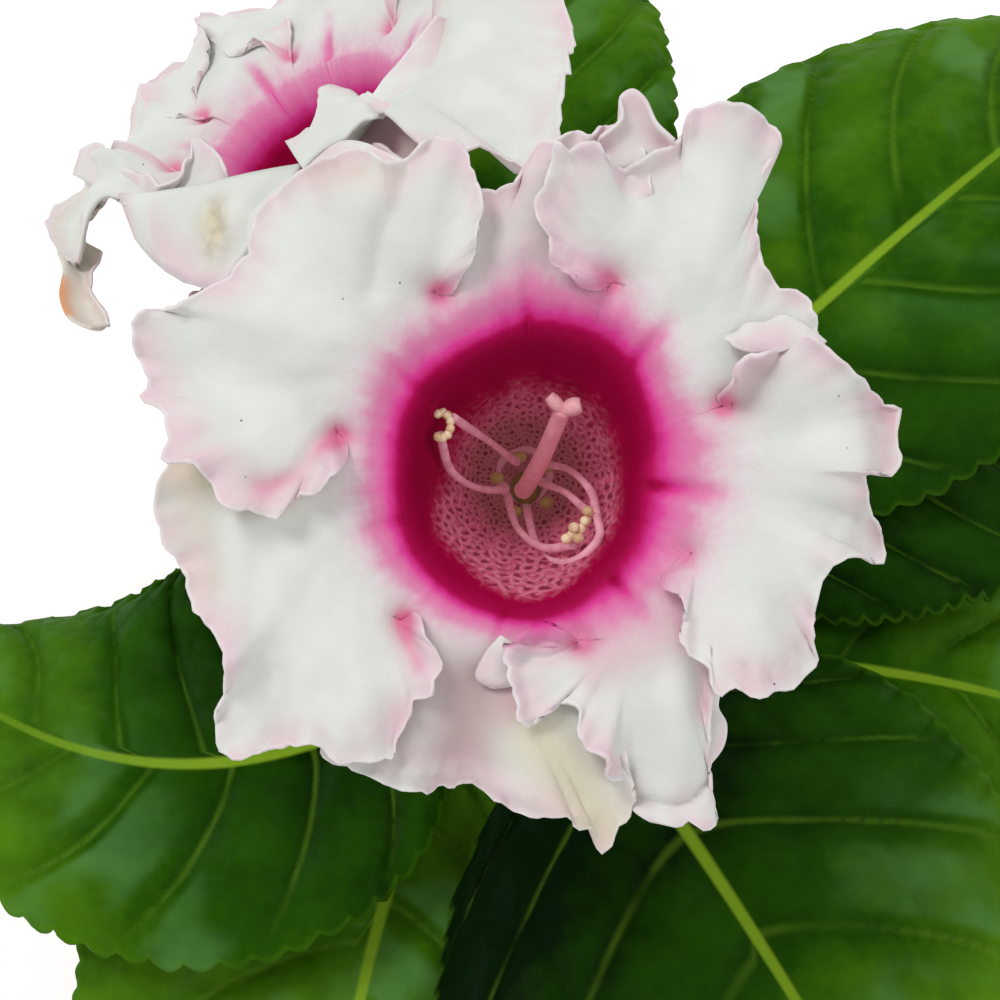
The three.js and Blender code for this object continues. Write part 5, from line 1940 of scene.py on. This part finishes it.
@dataclass
class Pot:
    """A plain clay pot with a rim, the soil in it, and the plant's stem on its tuber."""

    height: float = 115
    rim_radius: float = 65
    foot_radius: float = 44
    wall: float = 5
    lip: float = 4
    floor: float = 7.3
    soil_top: float = 102
    gap: float = 0.3  # between the soil and what it touches
    sides: int = 160
    soil_rows: int = 46
    tuber_radius: float = 16
    tuber_foot: float = 80
    tuber_crown: float = 105
    stem_sides: int = 48
    stem_rows: int = 70
    crumbs: Scatter = Scatter(26000.0, seed=4, smallest=0.5, largest=1.7, tilt=3.0)
    crumb_margin: float = 1.5
    lowest_crumb: float = 99.5

    def inner_radius(self, z: float) -> float:
        """The radius inside the wall at a height."""
        return float(mix(self.foot_radius, self.rim_radius - self.lip, z / self.height)) - self.wall

    def soil_bump(self, x: Array, y: Array) -> Array:
        """How uneven the soil lies."""
        return 1.4 * (np.sin(0.31 * x + 0.6) * np.cos(0.27 * y) + 0.5 * np.sin(0.7 * y + 0.4 * x))

    def soil(self, skin: Material) -> Piece:
        """Makes the soil's body with a crumbly top.

        Args:
            skin: its material.

        Returns:
            The piece.
        """
        angle = turns(self.sides)
        outer = self.inner_radius(self.soil_top) - self.gap
        hole = self.tuber_radius + self.gap
        radius = np.linspace(hole, outer, self.soil_rows)[:, None]
        x, y = radius * np.cos(angle), radius * np.sin(angle)
        broad = smooth(radius, hole, 24) * (1 - smooth(radius, 47, outer))
        fine = smooth(radius, hole, 19) * (1 - smooth(radius, outer - 2, outer))
        z = self.soil_top + broad * self.soil_bump(x, y) + fine * 0.8 * lattice_noise(x / 1.3, y / 1.3, 5)
        well = [(0.0, self.tuber_foot - self.gap), (hole, self.tuber_foot - self.gap)]
        foot = self.inner_radius(self.floor) - self.gap
        low = [(outer, self.soil_top - 8), (foot, self.floor), (0.0, self.floor)]
        inside, under = (np.array(rows) for rows in (well, low))
        body = np.concatenate([
            lathe(inside[:, :1], inside[:, 1:], angle), np.dstack([x, y, z]),
            lathe(under[:, :1], under[:, 1:], angle),
        ])
        made = Surface().add(body, closed=True).object("soil_bed")
        settle(made, skin, "soil")
        return made

    def strew(self, bed: Piece, skin: Material) -> None:
        """Scatters crumbs over the soil's open top.

        Args:
            bed: the soil.
            skin: their material.
        """
        work = bmesh.new()
        bmesh.ops.create_icosphere(work, subdivisions=1, radius=MM)
        lump = bpy.data.meshes.new("crumb")
        work.to_mesh(lump)
        work.free()
        source = bpy.data.objects.new("crumb", lump)
        made = self.crumbs.grow("soil_crumbs", bed, source, skin)
        bpy.data.objects.remove(source)
        work = bmesh.new()
        work.from_mesh(made.data)
        outer = (self.inner_radius(self.soil_top) - self.crumb_margin) * MM
        inner = (self.tuber_radius + self.crumb_margin) * MM
        stack = [
            v for v in work.verts
            if v.co.z < self.lowest_crumb * MM or not inner < math.hypot(v.co.x, v.co.y) < outer
        ]
        gone = set()
        while stack:
            v = stack.pop()
            if v not in gone:
                gone.add(v)
                stack.extend(e.other_vert(v) for e in v.link_edges)
        bmesh.ops.delete(work, geom=list(gone), context="VERTS")
        work.to_mesh(made.data)
        work.free()
        settle(made, skin, "soil")

    def stem(self, skin: Material) -> None:
        """Makes the stem on its tuber.

        Args:
            skin: its material.
        """
        foot, crown, r = self.tuber_foot, self.tuber_crown, self.tuber_radius
        wide, narrow = STEM_RADII
        top = STEM_HEIGHTS[1]
        profile = [
            (0.0, foot), (0.6 * r, foot), (0.9 * r, foot + 4), (r, foot + 9), (r, crown - 6),
            (0.86 * r, crown - 1.5), (0.55 * r, crown), (wide + 0.8, crown + 1.5), (wide, crown + 4),
            (narrow, top - 1.5), (narrow - 1.3, top), (0.0, top),
        ]
        line = spline(profile, self.stem_rows)
        grid = lathe(np.maximum(line[:, :1], 0), line[:, 1:], turns(self.stem_sides))
        made = Surface().add(grid, closed=True).object("stem_and_tuber")
        settle(made, skin, "tuber_and_stem")


# ---- Studio ----


@dataclass
class Studio:
    """A plain pale floor, soft light and the camera; places are in metres but for the eye's."""

    eye: Point3 = (-3.537, -155.372, 522.572)
    tilt: float = 24
    lens: float = 82.44
    sensor: float = 36
    clip: Point2 = (0.01, 30)
    floor_size: float = 6.0
    floor_white: tuple = (0.98, 0.98, 0.98, 1)
    floor_glow: float = 0.2
    floor_roughness: float = 0.8
    floor_specular: float = 0.2
    sky: float = 0.61
    target: Point3 = (0, 0, 0.2)
    lamps: tuple = (("key", (-1.1, 0.5, 2.5), 0.9, 27), ("fill", (1.6, -0.4, 2.0), 1.5, 8))

    def build(self) -> None:
        """Sets up the floor, the lights, the camera and the colour management."""
        self.floor()
        world = bpy.data.worlds.new("studio")
        world.use_nodes = True
        background = world.node_tree.nodes["Background"]
        background.inputs["Color"].default_value = (1, 1, 1, 1)
        background.inputs["Strength"].default_value = self.sky
        bpy.context.scene.world = world
        for lamp in self.lamps:
            self.lamp(*lamp)
        self.camera()
        view = bpy.context.scene.view_settings
        view.view_transform = "Standard"
        view.look = "None"

    def floor(self) -> None:
        """Lays the floor."""
        size = self.floor_size
        mesh = bpy.data.meshes.new("floor")
        mesh.from_pydata([(-size, -size, 0), (size, -size, 0), (size, size, 0), (-size, size, 0)], [],
                         [(0, 1, 2, 3)])
        floor = bpy.data.objects.new("floor", mesh)
        bpy.context.collection.objects.link(floor)
        mesh.materials.append(Recipe("floor").dress(
            self.floor_white, self.floor_roughness, Specular_IOR_Level=self.floor_specular,
            Emission_Color=self.floor_white, Emission_Strength=self.floor_glow,
        ))

    def camera(self) -> None:
        """Sets up the camera."""
        made = bpy.data.objects.new("camera", bpy.data.cameras.new("camera"))
        made.data.lens = self.lens
        made.data.sensor_width = self.sensor
        made.data.clip_start, made.data.clip_end = self.clip
        made.location = Vector(self.eye) * MM
        made.rotation_euler = (math.radians(self.tilt), 0, 0)
        bpy.context.collection.objects.link(made)
        bpy.context.scene.camera = made

    def lamp(self, name: str, place: Point3, size: float, power: float) -> None:
        """Adds a soft area light that points at the plant.

        Args:
            name: its name.
            place: where it hangs.
            size: its side.
            power: its power in watts.
        """
        light = bpy.data.lights.new(name, "AREA")
        light.size = size
        light.energy = power
        made = bpy.data.objects.new(name, light)
        made.location = place
        made.rotation_euler = (Vector(self.target) - Vector(place)).to_track_quat("-Z", "Y").to_euler()
        bpy.context.collection.objects.link(made)


# ---- The scene ----

PLAIN_FINISHES = [
    # the filament, style, ovary and gland finishes carry a painted glow
    PlainFinish("filament", (232, 168, 184), (214, 142, 160), 600, 0.45, specular=0.2, glow=0.1),
    PlainFinish("anther", (244, 218, 184), (206, 168, 124), 900, 0.6, 0.4),
    PlainFinish("style", (232, 158, 168), (220, 140, 156), 500, 0.4, specular=0.2, glow=0.12),
    PlainFinish("stigma", (240, 180, 184), (228, 160, 170), 700, 0.45),
    PlainFinish("ovary", (142, 128, 72), (112, 96, 56), 600, 0.6, glow=0.06),
    PlainFinish("gland", (214, 196, 130), (176, 160, 92), 500, 0.4, specular=0.2, glow=0.05),
    PlainFinish("sepal", (104, 138, 58), (74, 108, 40), 300, 0.6, 0.3, sheen=0.4),
    PlainFinish("stalk", (126, 146, 52), (92, 118, 36), 240, 0.55, 0.3, sheen=0.3),
    PlainFinish("earth", (52, 38, 28), (84, 64, 46), 500, 0.95, 0.8),
    PlainFinish("fired clay", (178, 104, 74), (196, 124, 92), 260, 0.85, 0.15),
]


def blooms() -> list[tuple[Corolla, FlowerParts]]:
    """Plans the two blooms.

    Returns:
        The petals and the other parts of each.
    """
    front = bloom_matrix((0, -30, 250), (0, -0.407, 0.914))
    rear = bloom_matrix((-34.6, 47, 213), (-0.464, 0.366, 0.807))
    return [
        (
            Corolla("bloom_1_petals", "bloom_1_corolla", front, FRONT_LOBES, FRONT_FLAPS, FRONT_STREAKS,
                    FRONT_MOUTH, seed=3),
            FlowerParts("bloom_1", front, stalk_root=(-100, 139.5), seed=5),
        ),
        (
            Corolla("bloom_2_petals", "bloom_2_corolla", rear, REAR_LOBES, REAR_FLAPS, REAR_STREAKS,
                    REAR_MOUTH, fade=6.8, columns=80, rows=34, frilled=0.45, seed=17),
            FlowerParts("bloom_2", rear, stalk_root=(110, 139.5), seed=9, sink=8.0),
        ),
    ]


def main() -> None:
    """Builds the scene in order."""
    logging.basicConfig(level=logging.INFO, format="%(message)s")
    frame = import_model()
    petal, blade = PetalFinish().build(), LeafFinish().build()
    skins = {finish.name: finish.build() for finish in PLAIN_FINISHES}
    corollas, flower_parts = zip(*blooms())
    for corolla in corollas:
        corolla.build(petal)
    for parts in flower_parts:
        parts.stamens(skins["filament"], skins["anther"])
        parts.pistil(skins["style"], skins["stigma"], skins["ovary"], skins["gland"])
        parts.calyx(skins["sepal"])
    for leaf in LEAVES:
        leaf.build(blade, skins["stalk"])
    pot = Pot()
    pot.strew(pot.soil(skins["earth"]), skins["earth"])
    pot.stem(skins["stalk"])
    for slot in frame["nodes"]["pot"].material_slots:
        slot.material = skins["fired clay"]
    Studio().build()


if __name__ == "__main__":
    main()
